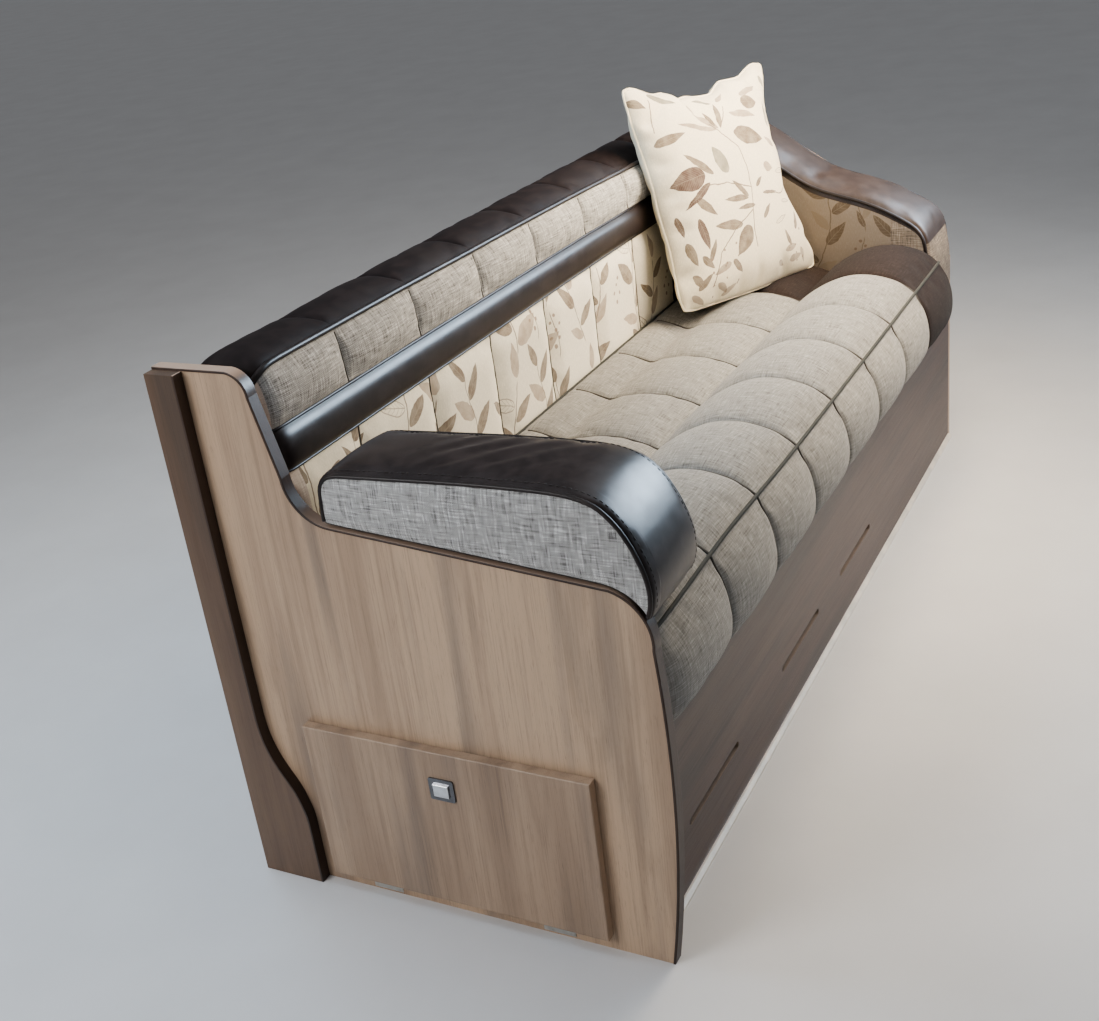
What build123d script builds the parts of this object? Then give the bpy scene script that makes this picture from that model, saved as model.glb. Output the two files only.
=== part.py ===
from build123d import *
import os
from math import radians, sin, cos

os.makedirs("parts", exist_ok=True)

# Caravan lounge settee for the left side of the van: upholstery on a storage base.
# Layout axes used while building, in mm:
#   u  along the settee, 0 at the outer face of the oak end panel, towards the front wall
#   v  across it, 0 at the end panel's foot on the aisle side, towards the side wall
#   z  up from the floor
# The finished nodes are shifted so that the origin is at the middle of the footprint.

# ---------------------------------------------------------------- driving sizes
LENGTH = 1850.0          # outer face of end panel to front wall
WALL = 680.0             # foot of end panel to side wall
PANEL_T = 18.0           # end panel board
BOARD_T = 15.0           # front panel and far end panel board
DECK_T = 18.0            # ledge, corner deck and lift-up frame
EDGE_T = 3.5             # brown edge trim, thickness
EDGE_LIP = 1.0           # edge trim stands this much proud of both panel faces
EDGE_R = 1.2             # rounding of the edge trim's outer edges

DECK_TOP = 346.0         # top of slatted frame, ledge and front panel
RAIL_TOP = DECK_TOP - DECK_T
RAIL_H = 40.0
RAIL_W = 30.0

FRONT_V = 35.0           # front face of the front panel
FRONT_IN = FRONT_V + BOARD_T
LEDGE_V = 525.0          # front edge of the fixed ledge under the back cushion
FAR_U = LENGTH - BOARD_T # inner face of far end panel

FRAME_U0, FRAME_U1 = 24.0, 1646.0      # lift-up slatted frame
FRAME_V0, FRAME_V1 = 56.0, 519.0
FRAME_RAIL = 46.0
SEAT_PIVOT = (522.0, DECK_TOP - 4.0)   # v, z of the frame's hinge line
SEAT_OPEN = 55.0                       # degrees

FLAP_V0, FLAP_V1 = 90.0, 548.0         # overlay flap on the end panel
FLAP_Z0, FLAP_Z1 = 26.0, 291.0
FLAP_T = 15.0
FLAP_GAP = 1.5
FLAP_PIVOT = (-4.0, 22.0)              # u, z of the flap's hinge line
HOLE_V0, HOLE_V1 = 125.0, 513.0        # aperture behind the flap
HOLE_Z0, HOLE_Z1 = 56.0, 256.0

SLOT_LEN, SLOT_H, SLOT_Z = 205.0, 12.0, 106.0
SLOT_U = (268.0, 690.0, 1033.0)        # middles of the vent slots

SEAT_U0, SEAT_U1 = 22.0, 1650.0        # seat cushion
SEAT_V1 = 512.0
SEAT_Z0 = DECK_TOP + 2.0
BACK_U0, BACK_U1 = 24.0, 1390.0        # long back cushion
CORNER_U0, CORNER_U1 = 1400.0, 1654.0  # short back cushion in the corner
BOLSTER_U0, BOLSTER_U1 = 1662.0, 1832.0
BACK_V0, BACK_V1 = 519.0, 651.0
ARM_U0, ARM_U1 = 1.0, 151.0
ARM_Z0 = 506.0

SCATTER = 457.0                        # scatter cushion, square
SCATTER_T = 122.0

# middle of the footprint in layout axes
MID_U = (LENGTH + (-FLAP_GAP - FLAP_T - 6.0)) / 2.0
MID_V = (WALL - 23.9) / 2.0


# ---------------------------------------------------------------- helpers
def box(u0, u1, v0, v1, z0, z1):
    return Location(((u0 + u1) / 2, (v0 + v1) / 2, (z0 + z1) / 2)) * Box(u1 - u0, v1 - v0, z1 - z0)


def slab(face_vz, u0, u1):
    """Extrude a face drawn in the v, z plane from u0 to u1."""
    placed = Location((u0, 0, 0)) * face_vz
    return extrude(placed, amount=u1 - u0, dir=(1, 0, 0))


def vz(points):
    return [(0.0, p[0], p[1]) for p in points]


def face_vz(edges):
    return make_face(edges)


def bar(r, u0, u1, v, z):
    """Round bar along u."""
    return Location(((u0 + u1) / 2, v, z), (0, 90, 0)) * Cylinder(r, u1 - u0)


def bar_v(r, v0, v1, u, z):
    """Round bar along v."""
    return Location((u, (v0 + v1) / 2, z), (90, 0, 0)) * Cylinder(r, v1 - v0)


def bar_z(r, z0, z1, u, v):
    return Location((u, v, (z0 + z1) / 2)) * Cylinder(r, z1 - z0)


def join(solids):
    out = solids[0]
    for s in solids[1:]:
        out = out + s
    return out


def save(name, shape, color):
    moved = Location((-MID_U, -MID_V, 0)) * shape
    solids = [s for s in moved.solids()]
    part = solids[0] if len(solids) == 1 else Compound(children=solids)
    part.label = name
    part.color = Color(*color)
    export_step(part, "parts/" + name + ".step")


OAK = (0.72, 0.58, 0.44)
PLY = (0.80, 0.70, 0.55)
PINE = (0.84, 0.72, 0.52)
BROWN = (0.20, 0.13, 0.10)
STEEL = (0.70, 0.71, 0.72)
CHROME = (0.85, 0.86, 0.88)
CLOTH = (0.74, 0.70, 0.63)
LEATHER = (0.18, 0.12, 0.10)
CREAM = (0.90, 0.87, 0.78)

# ---------------------------------------------------------------- end panel
# Outline in v, z, inside the edge trim: foot, bulged front edge, rounded arm nose,
# sloping arm, concave sweep up to the tall back, top, wall.
p_foot = (0, 3.0, 0.0)
p_belly = (0, -20.5, 300.0)
p_shoulder = (0, -11.5, 500.0)
p_nose_top = (0, 40.0, 575.5)
p_arm_back = (0, 440.0, 612.0)
p_sweep_mid = (0, 486.0, 634.0)
p_sweep_top = (0, 505.0, 680.0)
p_head_low = (0, 531.0, 793.0)
p_head = (0, 560.0, 824.5)
outline = [
    ThreePointArc(p_foot, p_belly, p_shoulder),
    ThreePointArc(p_shoulder, (0, 7.0, 556.0), p_nose_top),
    Line(p_nose_top, p_arm_back),
    ThreePointArc(p_arm_back, p_sweep_mid, p_sweep_top),
    Line(p_sweep_top, p_head_low),
    ThreePointArc(p_head_low, (0, 541.5, 816.5), p_head),
    Line(p_head, (0, WALL, 824.5)),
    Line((0, WALL, 824.5), (0, WALL, 0.0)),
    Line((0, WALL, 0.0), p_foot),
]
panel_face = make_face(outline)
panel_full = slab(panel_face, 0.0, PANEL_T)
aperture = box(-5, PANEL_T + 5, HOLE_V0, HOLE_V1, HOLE_Z0, HOLE_Z1)
aperture = fillet(aperture.edges().filter_by(Axis.X), 12.0)
end_panel = panel_full - aperture
save("end_panel", end_panel, OAK)

# brown edge trim: a band EDGE_T thick round the outline, not along floor or wall
trim_face = offset(panel_face, amount=EDGE_T, kind=Kind.ARC)
trim = slab(trim_face, -EDGE_LIP, PANEL_T + EDGE_LIP)
trim = fillet(trim.edges().group_by(Axis.X)[0] + trim.edges().group_by(Axis.X)[-1], EDGE_R)
trim = trim - slab(panel_face, -5.0, PANEL_T + 5.0)
trim = trim - box(-10, 40, -200, 900, -50, 0.0) - box(-10, 40, WALL, 900, -50, 1000)
trim = trim - box(-10, 40, 60, 900, -50, 400)
save("end_panel_edging", trim, BROWN)

# upright on the outer face beside the door: straight front edge that steps forward near the floor,
# with a brown strip on that edge
UPRIGHT_T = 18.0
UPRIGHT_TOP = 824.0
UPRIGHT_V, UPRIGHT_FOOT_V = 630.0, 574.0
UPRIGHT_STRIP = 3.0
upright_face = make_face([
    Line((0, UPRIGHT_V, UPRIGHT_TOP), (0, UPRIGHT_V, 300.0)),
    Spline([(0, UPRIGHT_V, 300.0), (0, 626.0, 252.0), (0, 616.0, 219.0), (0, 603.0, 193.0), (0, 587.5, 165.0),
            (0, 578.0, 135.0), (0, UPRIGHT_FOOT_V, 92.0)], tangents=[(0, 0, -1), (0, 0, -1)]),
    Line((0, UPRIGHT_FOOT_V, 92.0), (0, UPRIGHT_FOOT_V, 0.0)),
    Line((0, UPRIGHT_FOOT_V, 0.0), (0, WALL, 0.0)),
    Line((0, WALL, 0.0), (0, WALL, UPRIGHT_TOP)),
    Line((0, WALL, UPRIGHT_TOP), (0, UPRIGHT_V, UPRIGHT_TOP)),
])
upright_full = slab(upright_face, -UPRIGHT_T, 0.0)
upright_inner = Location((0, UPRIGHT_STRIP, 0)) * upright_full
save("door_upright", upright_full & upright_inner, OAK)
upright_strip = upright_full - upright_inner
save("door_upright_edging", upright_strip, BROWN)

# ---------------------------------------------------------------- carcass boards
front_panel = box(PANEL_T, FAR_U, FRONT_V, FRONT_IN, 0.0, DECK_TOP)
for u in SLOT_U:
    slot = box(u - SLOT_LEN / 2, u + SLOT_LEN / 2, FRONT_V - 5, FRONT_IN + 5, SLOT_Z - SLOT_H / 2, SLOT_Z + SLOT_H / 2)
    slot = fillet(slot.edges().filter_by(Axis.Y), SLOT_H / 2 - 0.5)
    front_panel = front_panel - slot
save("front_panel", front_panel, OAK)

bead = box(PANEL_T + 2.0, FAR_U, FRONT_V - 8.0, FRONT_V, 0.0, 9.0)
bead = chamfer(bead.edges().filter_by(Axis.X).sort_by(Axis.Y)[:2].sort_by(Axis.Z)[-1:], 5.0)
save("floor_bead", bead, (0.86, 0.84, 0.78))

# far end panel: stands against the front wall, its top follows the corner bolster
far_pts = [(FRONT_V, 0), (FRONT_V, 440), (60, 500), (90, 552), (150, 596), (240, 624), (300, 648), (380, 700), (500, 778),
           (530, 788), (WALL, 788), (WALL, 0)]
far_face = make_face(Polyline(*vz(far_pts), close=True))
far_panel = slab(far_face, FAR_U, LENGTH)
FAR_SCREWS = [(120.0, 140.0), (600.0, 140.0), (120.0, 440.0), (600.0, 440.0)]   # v, z
for v, z in FAR_SCREWS:
    far_panel = far_panel - bar(2.5, FAR_U - 2, LENGTH + 2, v, z)
save("far_end_panel", far_panel, OAK)

# two dividers across the locker, cut away at the floor for the pipe run along the wall
DIVIDER_U = (560.0, 1148.0)
DIVIDER_T = 12.0
divider_pts = [(FRONT_IN, 20), (FRONT_IN, RAIL_TOP - RAIL_H), (FRONT_IN + RAIL_W, RAIL_TOP - RAIL_H),
               (FRONT_IN + RAIL_W, RAIL_TOP), (LEDGE_V, RAIL_TOP), (LEDGE_V, RAIL_TOP - RAIL_H),
               (WALL - RAIL_W, RAIL_TOP - RAIL_H), (WALL - RAIL_W, 110), (560, 110), (560, 0), (70, 0), (70, 20)]
divider_face = make_face(Polyline(*vz(divider_pts), close=True))
dividers = Compound(children=[slab(divider_face, u, u + DIVIDER_T) for u in DIVIDER_U])
save("locker_dividers", dividers, PLY)

# ---------------------------------------------------------------- timber rails
# name, u0, u1, v0, v1, z0, z1
RAILS = [
    ("front_rail", PANEL_T, FAR_U, FRONT_IN, FRONT_IN + RAIL_W, RAIL_TOP - RAIL_H, RAIL_TOP),
    ("ledge_rail", PANEL_T, FAR_U, LEDGE_V, LEDGE_V + RAIL_W, RAIL_TOP - RAIL_H, RAIL_TOP),
]
for name, u0, u1, v0, v1, z0, z1 in RAILS:
    save(name, box(u0, u1, v0, v1, z0, z1), PINE)

WALL_SCREW_U = (200.0, 1650.0)
wall_rail = box(PANEL_T, FAR_U, WALL - RAIL_W, WALL, RAIL_TOP - RAIL_H, RAIL_TOP)
for u in WALL_SCREW_U:
    wall_rail = wall_rail - bar_v(2.75, WALL - RAIL_W - 2, WALL + 2, u, RAIL_TOP - RAIL_H / 2)
save("wall_rail", wall_rail, PINE)

# bearer under the joint of frame and corner deck, and cleat under the deck's far end
# u0, u1
CLEATS = [(1628.0, 1672.0), (FAR_U - 25.0, FAR_U)]
cleats = Compound(children=[box(u0, u1, FRONT_IN + RAIL_W, LEDGE_V, RAIL_TOP - RAIL_H, RAIL_TOP) for u0, u1 in CLEATS])
save("cross_cleats", cleats, PINE)

# floor battens: front one and one each side, with screw holes down into the floor
FRONT_BATTEN_SCREW_U = (300.0, 1500.0)
SIDE_BATTEN_SCREW_V = (180.0, 480.0)
batten_front = box(PANEL_T, FAR_U, FRONT_IN, FRONT_IN + 20, 0, 20)
for u in FRONT_BATTEN_SCREW_U:
    batten_front = batten_front - bar_z(2.25, -2, 22, u, FRONT_IN + 10)
save("floor_batten_front", batten_front, PINE)
side_battens = []
for u0 in (PANEL_T, FAR_U - 20.0):
    b = box(u0, u0 + 20, FRONT_IN + 20, WALL, 0, 20)
    for v in SIDE_BATTEN_SCREW_V:
        b = b - bar_z(2.25, -2, 22, u0 + 10, v)
    side_battens.append(b)
save("floor_battens_ends", Compound(children=side_battens), PINE)

# ---------------------------------------------------------------- ledge, deck and back support
ledge = box(PANEL_T, FAR_U, LEDGE_V, WALL, RAIL_TOP, DECK_TOP)
save("back_ledge", ledge, PLY)
corner_deck = box(1652.0, FAR_U, FRONT_IN, LEDGE_V, RAIL_TOP, DECK_TOP)
save("corner_deck", corner_deck, PLY)

UPRIGHT_U = (19.0, 640.0, 1260.0, 1794.0)
UPRIGHT_W = 40.0
uprights = Compound(children=[box(u, u + UPRIGHT_W, WALL - 18, WALL, DECK_TOP, 790) for u in UPRIGHT_U])
save("back_uprights", uprights, PINE)
SLAT_Z = ((380.0, 460.0), (540.0, 620.0), (700.0, 785.0))
back_slats = Compound(children=[box(PANEL_T + 1, FAR_U, WALL - 27, WALL - 18, z0, z1) for z0, z1 in SLAT_Z])
save("back_slats", back_slats, PLY)

# ---------------------------------------------------------------- flap in the end panel
f_u0, f_u1 = -FLAP_GAP - FLAP_T, -FLAP_GAP
flap = box(f_u0, f_u1, FLAP_V0, FLAP_V1, FLAP_Z0, FLAP_Z1)
flap = fillet(flap.edges().group_by(Axis.X)[0], 2.0)
LATCH_V, LATCH_Z = 322.0, 231.0
flap = flap - box(f_u0 - 2, f_u1 + 2, LATCH_V - 14, LATCH_V + 14, LATCH_Z - 12, LATCH_Z + 12)
HINGE_V = (175.0, 463.0)               # middles of the flap's hinges
HINGE_LEN = 50.0
KNUCKLE_R, PIN_R, PIN_CLEAR = 2.5, 1.2, 0.05
for v in HINGE_V:
    flap = flap - box(f_u1 - 1.1, f_u1 + 1, v - HINGE_LEN / 2 - 0.5, v + HINGE_LEN / 2 + 0.5, FLAP_Z0 - 1, FLAP_Z0 + 24)
save("flap", flap, OAK)


def knuckles(v_mid, axis_uz, fixed):
    """Knuckle barrels along v: outer thirds are fixed, the middle third moves."""
    u, z = axis_uz
    h = HINGE_LEN / 2
    spans = [(-h, -h / 3 - 0.3), (h / 3 + 0.3, h)] if fixed else [(-h / 3, h / 3)]
    barrels = []
    for a, b in spans:
        barrels.append(bar_v(KNUCKLE_R, v_mid + a, v_mid + b, u, z))
    return barrels


fixed_leaves, moving_leaves = [], []
for v in HINGE_V:
    h = HINGE_LEN / 2
    leaf = box(-1.5, 0.0, v - h, v + h, 4.0, 24.0)
    body = join([leaf] + knuckles(v, FLAP_PIVOT, True) +
                [box(-3.0, 0.0, v - h, v - h / 3 - 0.3, 19.6, 24.0), box(-3.0, 0.0, v + h / 3 + 0.3, v + h, 19.6, 24.0)])
    # clear the moving barrel, then add the pin through all of it
    body = body - bar_v(KNUCKLE_R + 0.3, v - h / 3 - 0.3, v + h / 3 + 0.3, *FLAP_PIVOT)
    body = body + bar_v(PIN_R, v - h, v + h, *FLAP_PIVOT)
    fixed_leaves.append(body)
    arm = join([box(f_u1 - 1.0, f_u1, v - h, v + h, FLAP_Z0, FLAP_Z0 + 23)] +
               [box(f_u1 - 1.0, f_u1, v - h / 3, v + h / 3, FLAP_PIVOT[1], FLAP_Z0 + 5)] +
               knuckles(v, FLAP_PIVOT, False))
    arm = arm - bar_v(PIN_R + PIN_CLEAR, v - h, v + h, *FLAP_PIVOT)
    moving_leaves.append(arm)
save("flap_hinges_fixed", Compound(children=fixed_leaves), STEEL)
save("flap_hinges_moving", Compound(children=moving_leaves), STEEL)

# push-button latch: square plate and button outside, body with its bolt inside the flap
plate = box(f_u0 - 2.5, f_u0, LATCH_V - 20, LATCH_V + 20, LATCH_Z - 18, LATCH_Z + 18)
plate = fillet(plate.edges().filter_by(Axis.X), 3.0)
plate = plate - box(f_u0 - 4, f_u0 + 1, LATCH_V - 12.5, LATCH_V + 12.5, LATCH_Z - 10.5, LATCH_Z + 10.5)
save("latch_plate", plate, CHROME)
button = box(f_u0 - 6.0, f_u0 + 4.0, LATCH_V - 12.2, LATCH_V + 12.2, LATCH_Z - 10.2, LATCH_Z + 10.2)
button = fillet(button.edges().group_by(Axis.X)[0], 1.5)
save("latch_button", button, CHROME)
latch_body = box(f_u0 + 4.2, f_u1, LATCH_V - 13.8, LATCH_V + 13.8, LATCH_Z - 11.8, LATCH_Z + 11.8)
latch_body = latch_body + box(f_u1, 22.0, LATCH_V - 17, LATCH_V + 17, LATCH_Z - 15, LATCH_Z + 13)
latch_body = latch_body + box(12.0, 22.0, LATCH_V - 6, LATCH_V + 6, LATCH_Z + 13, LATCH_Z + 17)
save("latch_body", latch_body, (0.15, 0.15, 0.16))

# keeper behind the panel above the aperture
keeper = box(PANEL_T, PANEL_T + 12, LATCH_V - 22, LATCH_V + 22, HOLE_Z1 + 1, HOLE_Z1 + 9.0)
save("latch_keeper", keeper, (0.15, 0.15, 0.16))

# ---------------------------------------------------------------- lift-up slatted frame
frame_bits = [
    box(FRAME_U0, FRAME_U1, FRAME_V0, FRAME_V0 + FRAME_RAIL, RAIL_TOP + 0.3, DECK_TOP),
    box(FRAME_U0, FRAME_U1, FRAME_V1 - FRAME_RAIL, FRAME_V1, RAIL_TOP + 0.3, DECK_TOP),
]
CROSS_U = (FRAME_U0, 562.0, 1122.0, FRAME_U1 - FRAME_RAIL)
for u in CROSS_U:
    frame_bits.append(box(u, u + FRAME_RAIL, FRAME_V0 + FRAME_RAIL, FRAME_V1 - FRAME_RAIL, RAIL_TOP + 0.3, DECK_TOP))
seat_frame = join(frame_bits)
save("seat_frame", seat_frame, PLY)

SLAT_W, SLAT_T = 63.0, 8.0
SLATS_PER_BAY = 3
slats, caps = [], []
for a, b in zip(CROSS_U[:-1], CROSS_U[1:]):
    clear = b - (a + FRAME_RAIL)
    pitch = clear / SLATS_PER_BAY
    for k in range(SLATS_PER_BAY):
        u = a + FRAME_RAIL + pitch * (k + 0.5)
        slats.append(box(u - SLAT_W / 2, u + SLAT_W / 2, FRAME_V0 + FRAME_RAIL + 3, FRAME_V1 - FRAME_RAIL - 3,
                         DECK_TOP - 4 - SLAT_T, DECK_TOP - 4))
        for v0, v1 in ((FRAME_V0 + FRAME_RAIL, FRAME_V0 + FRAME_RAIL + 28),
                       (FRAME_V1 - FRAME_RAIL - 28, FRAME_V1 - FRAME_RAIL)):
            cap = box(u - SLAT_W / 2 - 4, u + SLAT_W / 2 + 4, v0, v1, DECK_TOP - 15, DECK_TOP - 1)
            cap = cap - box(u - SLAT_W / 2, u + SLAT_W / 2, FRAME_V0 + FRAME_RAIL + 3, FRAME_V1 - FRAME_RAIL - 3,
                            DECK_TOP - 4 - SLAT_T, DECK_TOP - 4)
            caps.append(cap)
save("seat_slats", Compound(children=slats), PINE)
save("slat_caps", Compound(children=caps), (0.12, 0.12, 0.12))

# butt hinges of the frame, along its rear edge
SEAT_HINGE_U = (150.0, 600.0, 1050.0, 1500.0)
SEAT_HINGE_LEN = 60.0
S_KNUCKLE, S_PIN = 2.6, 1.3
pv, pz = SEAT_PIVOT
seat_fixed, seat_moving = [], []
for u in SEAT_HINGE_U:
    h = SEAT_HINGE_LEN / 2
    leaf = box(u - h, u + h, LEDGE_V - 1.4, LEDGE_V, RAIL_TOP + 2, pz)
    parts = [leaf]
    for a, b in ((-h, -h / 3 - 0.3), (h / 3 + 0.3, h)):
        parts.append(bar(S_KNUCKLE, u + a, u + b, pv, pz))
    body = join(parts)
    body = body - bar(S_KNUCKLE + 0.3, u - h / 3 - 0.3, u + h / 3 + 0.3, pv, pz)
    body = body + bar(S_PIN, u - h, u + h, pv, pz)
    seat_fixed.append(body)
    leaf = box(u - h, u + h, FRAME_V1, FRAME_V1 + 1.4, RAIL_TOP + 2, pz)
    leaf = leaf - join([bar(S_KNUCKLE + 0.3, u - h - 1, u - h / 3, pv, pz), bar(S_KNUCKLE + 0.3, u + h / 3, u + h + 1, pv, pz)])
    arm = leaf + bar(S_KNUCKLE, u - h / 3, u + h / 3, pv, pz)
    arm = arm - bar(S_PIN + PIN_CLEAR, u - h - 1, u + h + 1, pv, pz)
    seat_moving.append(arm)
save("seat_hinges_fixed", Compound(children=seat_fixed), STEEL)
save("seat_hinges_moving", Compound(children=seat_moving), STEEL)

# ---------------------------------------------------------------- upholstery as plain closed solids
# seat cushion: flat base, bulged front that overhangs the front panel, high knee crown,
# valley, middle crown, shallow rear valley; pressed flat under the arm pad
seat_edges = [
    Line((0, SEAT_V1, SEAT_Z0), (0, 14, SEAT_Z0)),
    ThreePointArc((0, 14, SEAT_Z0), (0, -22, 408), (0, 10, 484)),
    Spline((0, 10, 484), (0, 50, 514), (0, 108, 526), (0, 168, 515), (0, 216, 491), (0, 252, 469),
           tangents=((0, 0.6, 0.8), (0, 1.0, -0.35))),
    Spline((0, 252, 469), (0, 296, 479), (0, 345, 483), (0, 395, 478), (0, 430, 470),
           tangents=((0, 1.0, 0.35), (0, 1.0, -0.2))),
    Spline((0, 430, 470), (0, 470, 480), (0, SEAT_V1, 483), tangents=((0, 1.0, 0.3), (0, 1.0, 0.0))),
    Line((0, SEAT_V1, 483), (0, SEAT_V1, SEAT_Z0)),
]
seat_cushion = slab(make_face(seat_edges), SEAT_U0, SEAT_U1)
seat_cushion = seat_cushion - box(SEAT_U0 - 5, ARM_U1 + 7, -60, SEAT_V1 + 20, ARM_Z0 - 3, 600)
save("seat_cushion", seat_cushion, CLOTH)

back_edges = [
    Line((0, BACK_V1, SEAT_Z0), (0, BACK_V0 + 15, SEAT_Z0)),
    Line((0, BACK_V0 + 15, SEAT_Z0), (0, BACK_V0 + 2, SEAT_Z0 + 28)),
    Line((0, BACK_V0 + 2, SEAT_Z0 + 28), (0, BACK_V0, 690)),
    Line((0, BACK_V0, 690), (0, BACK_V0 + 9, 800)),
    ThreePointArc((0, BACK_V0 + 9, 800), (0, BACK_V0 + 18, 817), (0, BACK_V0 + 34, 823)),
    ThreePointArc((0, BACK_V0 + 34, 823), (0, BACK_V0 + 90, 823), (0, BACK_V1, 800)),
    Line((0, BACK_V1, 800), (0, BACK_V1, SEAT_Z0)),
]
back_face = make_face(back_edges)
save("back_cushion", slab(back_face, BACK_U0, BACK_U1), CREAM)
save("corner_cushion", slab(back_face, CORNER_U0, CORNER_U1), LEATHER)

bolster_pts = [(BACK_V1, SEAT_Z0), (BACK_V1, 800), (520, 800), (440, 752), (394, 724), (338, 684), (290, 656), (242, 640),
               (194, 628), (147, 611), (100, 588), (62, 562), (40, 530), (32, 490), (32, 400), (44, SEAT_Z0)]
bolster_face = make_face(Polyline(*vz(bolster_pts), close=True))
save("corner_bolster", slab(bolster_face, BOLSTER_U0, BOLSTER_U1), CREAM)

# arm pad: sits over the end panel's arm and on the seat cushion
arm_edges = [
    ThreePointArc((0, -10, ARM_Z0), (0, -20, 572), (0, 0, 640)),
    ThreePointArc((0, 0, 640), (0, 34, 685), (0, 90, 703)),
    ThreePointArc((0, 90, 703), (0, 240, 704), (0, 436, 696)),
    ThreePointArc((0, 436, 696), (0, 448, 691), (0, 453, 680)),
    Line((0, 453, 680), (0, 456, ARM_Z0)),
    Line((0, 456, ARM_Z0), (0, -10, ARM_Z0)),
]
arm_pad = slab(make_face(arm_edges), ARM_U0, ARM_U1)
clear_face = offset(panel_face, amount=EDGE_T + 1.5, kind=Kind.ARC)
arm_pad = arm_pad - slab(clear_face, -20, PANEL_T + EDGE_LIP + 1.5)
arm_pad = max(arm_pad.solids(), key=lambda s: s.volume)
save("arm_pad", arm_pad, CLOTH)

# scatter cushion: lens shaped, leaning in the corner at the far end
half = SCATTER / 2
lens = [
    ThreePointArc((0, -half, 0), (0, 0, SCATTER_T / 2), (0, half, 0)),
    ThreePointArc((0, half, 0), (0, 0, -SCATTER_T / 2), (0, -half, 0)),
]
pillow = extrude(Location((-half, 0, 0)) * make_face(lens), amount=SCATTER, dir=(1, 0, 0))
lens2 = [
    ThreePointArc((-half, 0, 0), (0, 0, SCATTER_T / 2), (half, 0, 0)),
    ThreePointArc((half, 0, 0), (0, 0, -SCATTER_T / 2), (-half, 0, 0)),
]
pillow2 = extrude(Location((0, -half, 0)) * make_face(lens2), amount=SCATTER, dir=(0, 1, 0))
pillow = pillow & pillow2
# stood on edge facing the aisle (-v), then leaned back, rolled and turned
stand = Location((1419.0, 353.0, 489.0)) * Location((0, 0, 0), (0, 0, -16.8)) * Location((0, 0, 0), (-18.1, 0, 0)) \
    * Location((0, 0, 0), (0, 3.9, 0)) * Location((0, 0, half)) * Location((0, 0, 0), (90, 0, 0))
pillow = stand * pillow
# pressed flat where it leans on the back cushions and the bolster, and where it stands on the seat cushion
clear_back = offset(back_face, amount=5.0, kind=Kind.ARC)
pillow = pillow - slab(clear_back, BACK_U0 - 20, CORNER_U1 + 6)
pillow = pillow - box(1000, 1700, 0, 600, 400, 486.5) - box(BOLSTER_U0 - 5, 1900, 0, 700, 400, 900)
pillow = max(pillow.solids(), key=lambda q: q.volume)
save("scatter_cushion", pillow, CREAM)
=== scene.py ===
import bpy
import math
import numpy as np
from mathutils import Vector, Matrix


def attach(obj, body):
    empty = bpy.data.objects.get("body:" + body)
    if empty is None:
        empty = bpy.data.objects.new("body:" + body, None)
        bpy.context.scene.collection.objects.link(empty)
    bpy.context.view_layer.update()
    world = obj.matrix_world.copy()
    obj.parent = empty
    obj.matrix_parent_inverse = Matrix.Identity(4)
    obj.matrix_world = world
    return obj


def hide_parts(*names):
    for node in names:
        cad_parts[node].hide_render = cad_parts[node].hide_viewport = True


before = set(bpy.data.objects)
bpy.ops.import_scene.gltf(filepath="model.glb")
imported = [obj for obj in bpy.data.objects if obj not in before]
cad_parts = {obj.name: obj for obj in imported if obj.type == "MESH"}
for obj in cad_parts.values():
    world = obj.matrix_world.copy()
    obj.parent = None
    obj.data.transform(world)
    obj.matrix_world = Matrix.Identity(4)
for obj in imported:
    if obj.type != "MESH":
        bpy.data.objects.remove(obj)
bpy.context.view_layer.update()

# layout axes in mm: u along the settee from the end panel, v across it from the aisle, z up
MID_U, MID_V = 913.75, 328.05


def W(u, v, z):
    return Vector(((u - MID_U) / 1000.0, (v - MID_V) / 1000.0, z / 1000.0))


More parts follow.
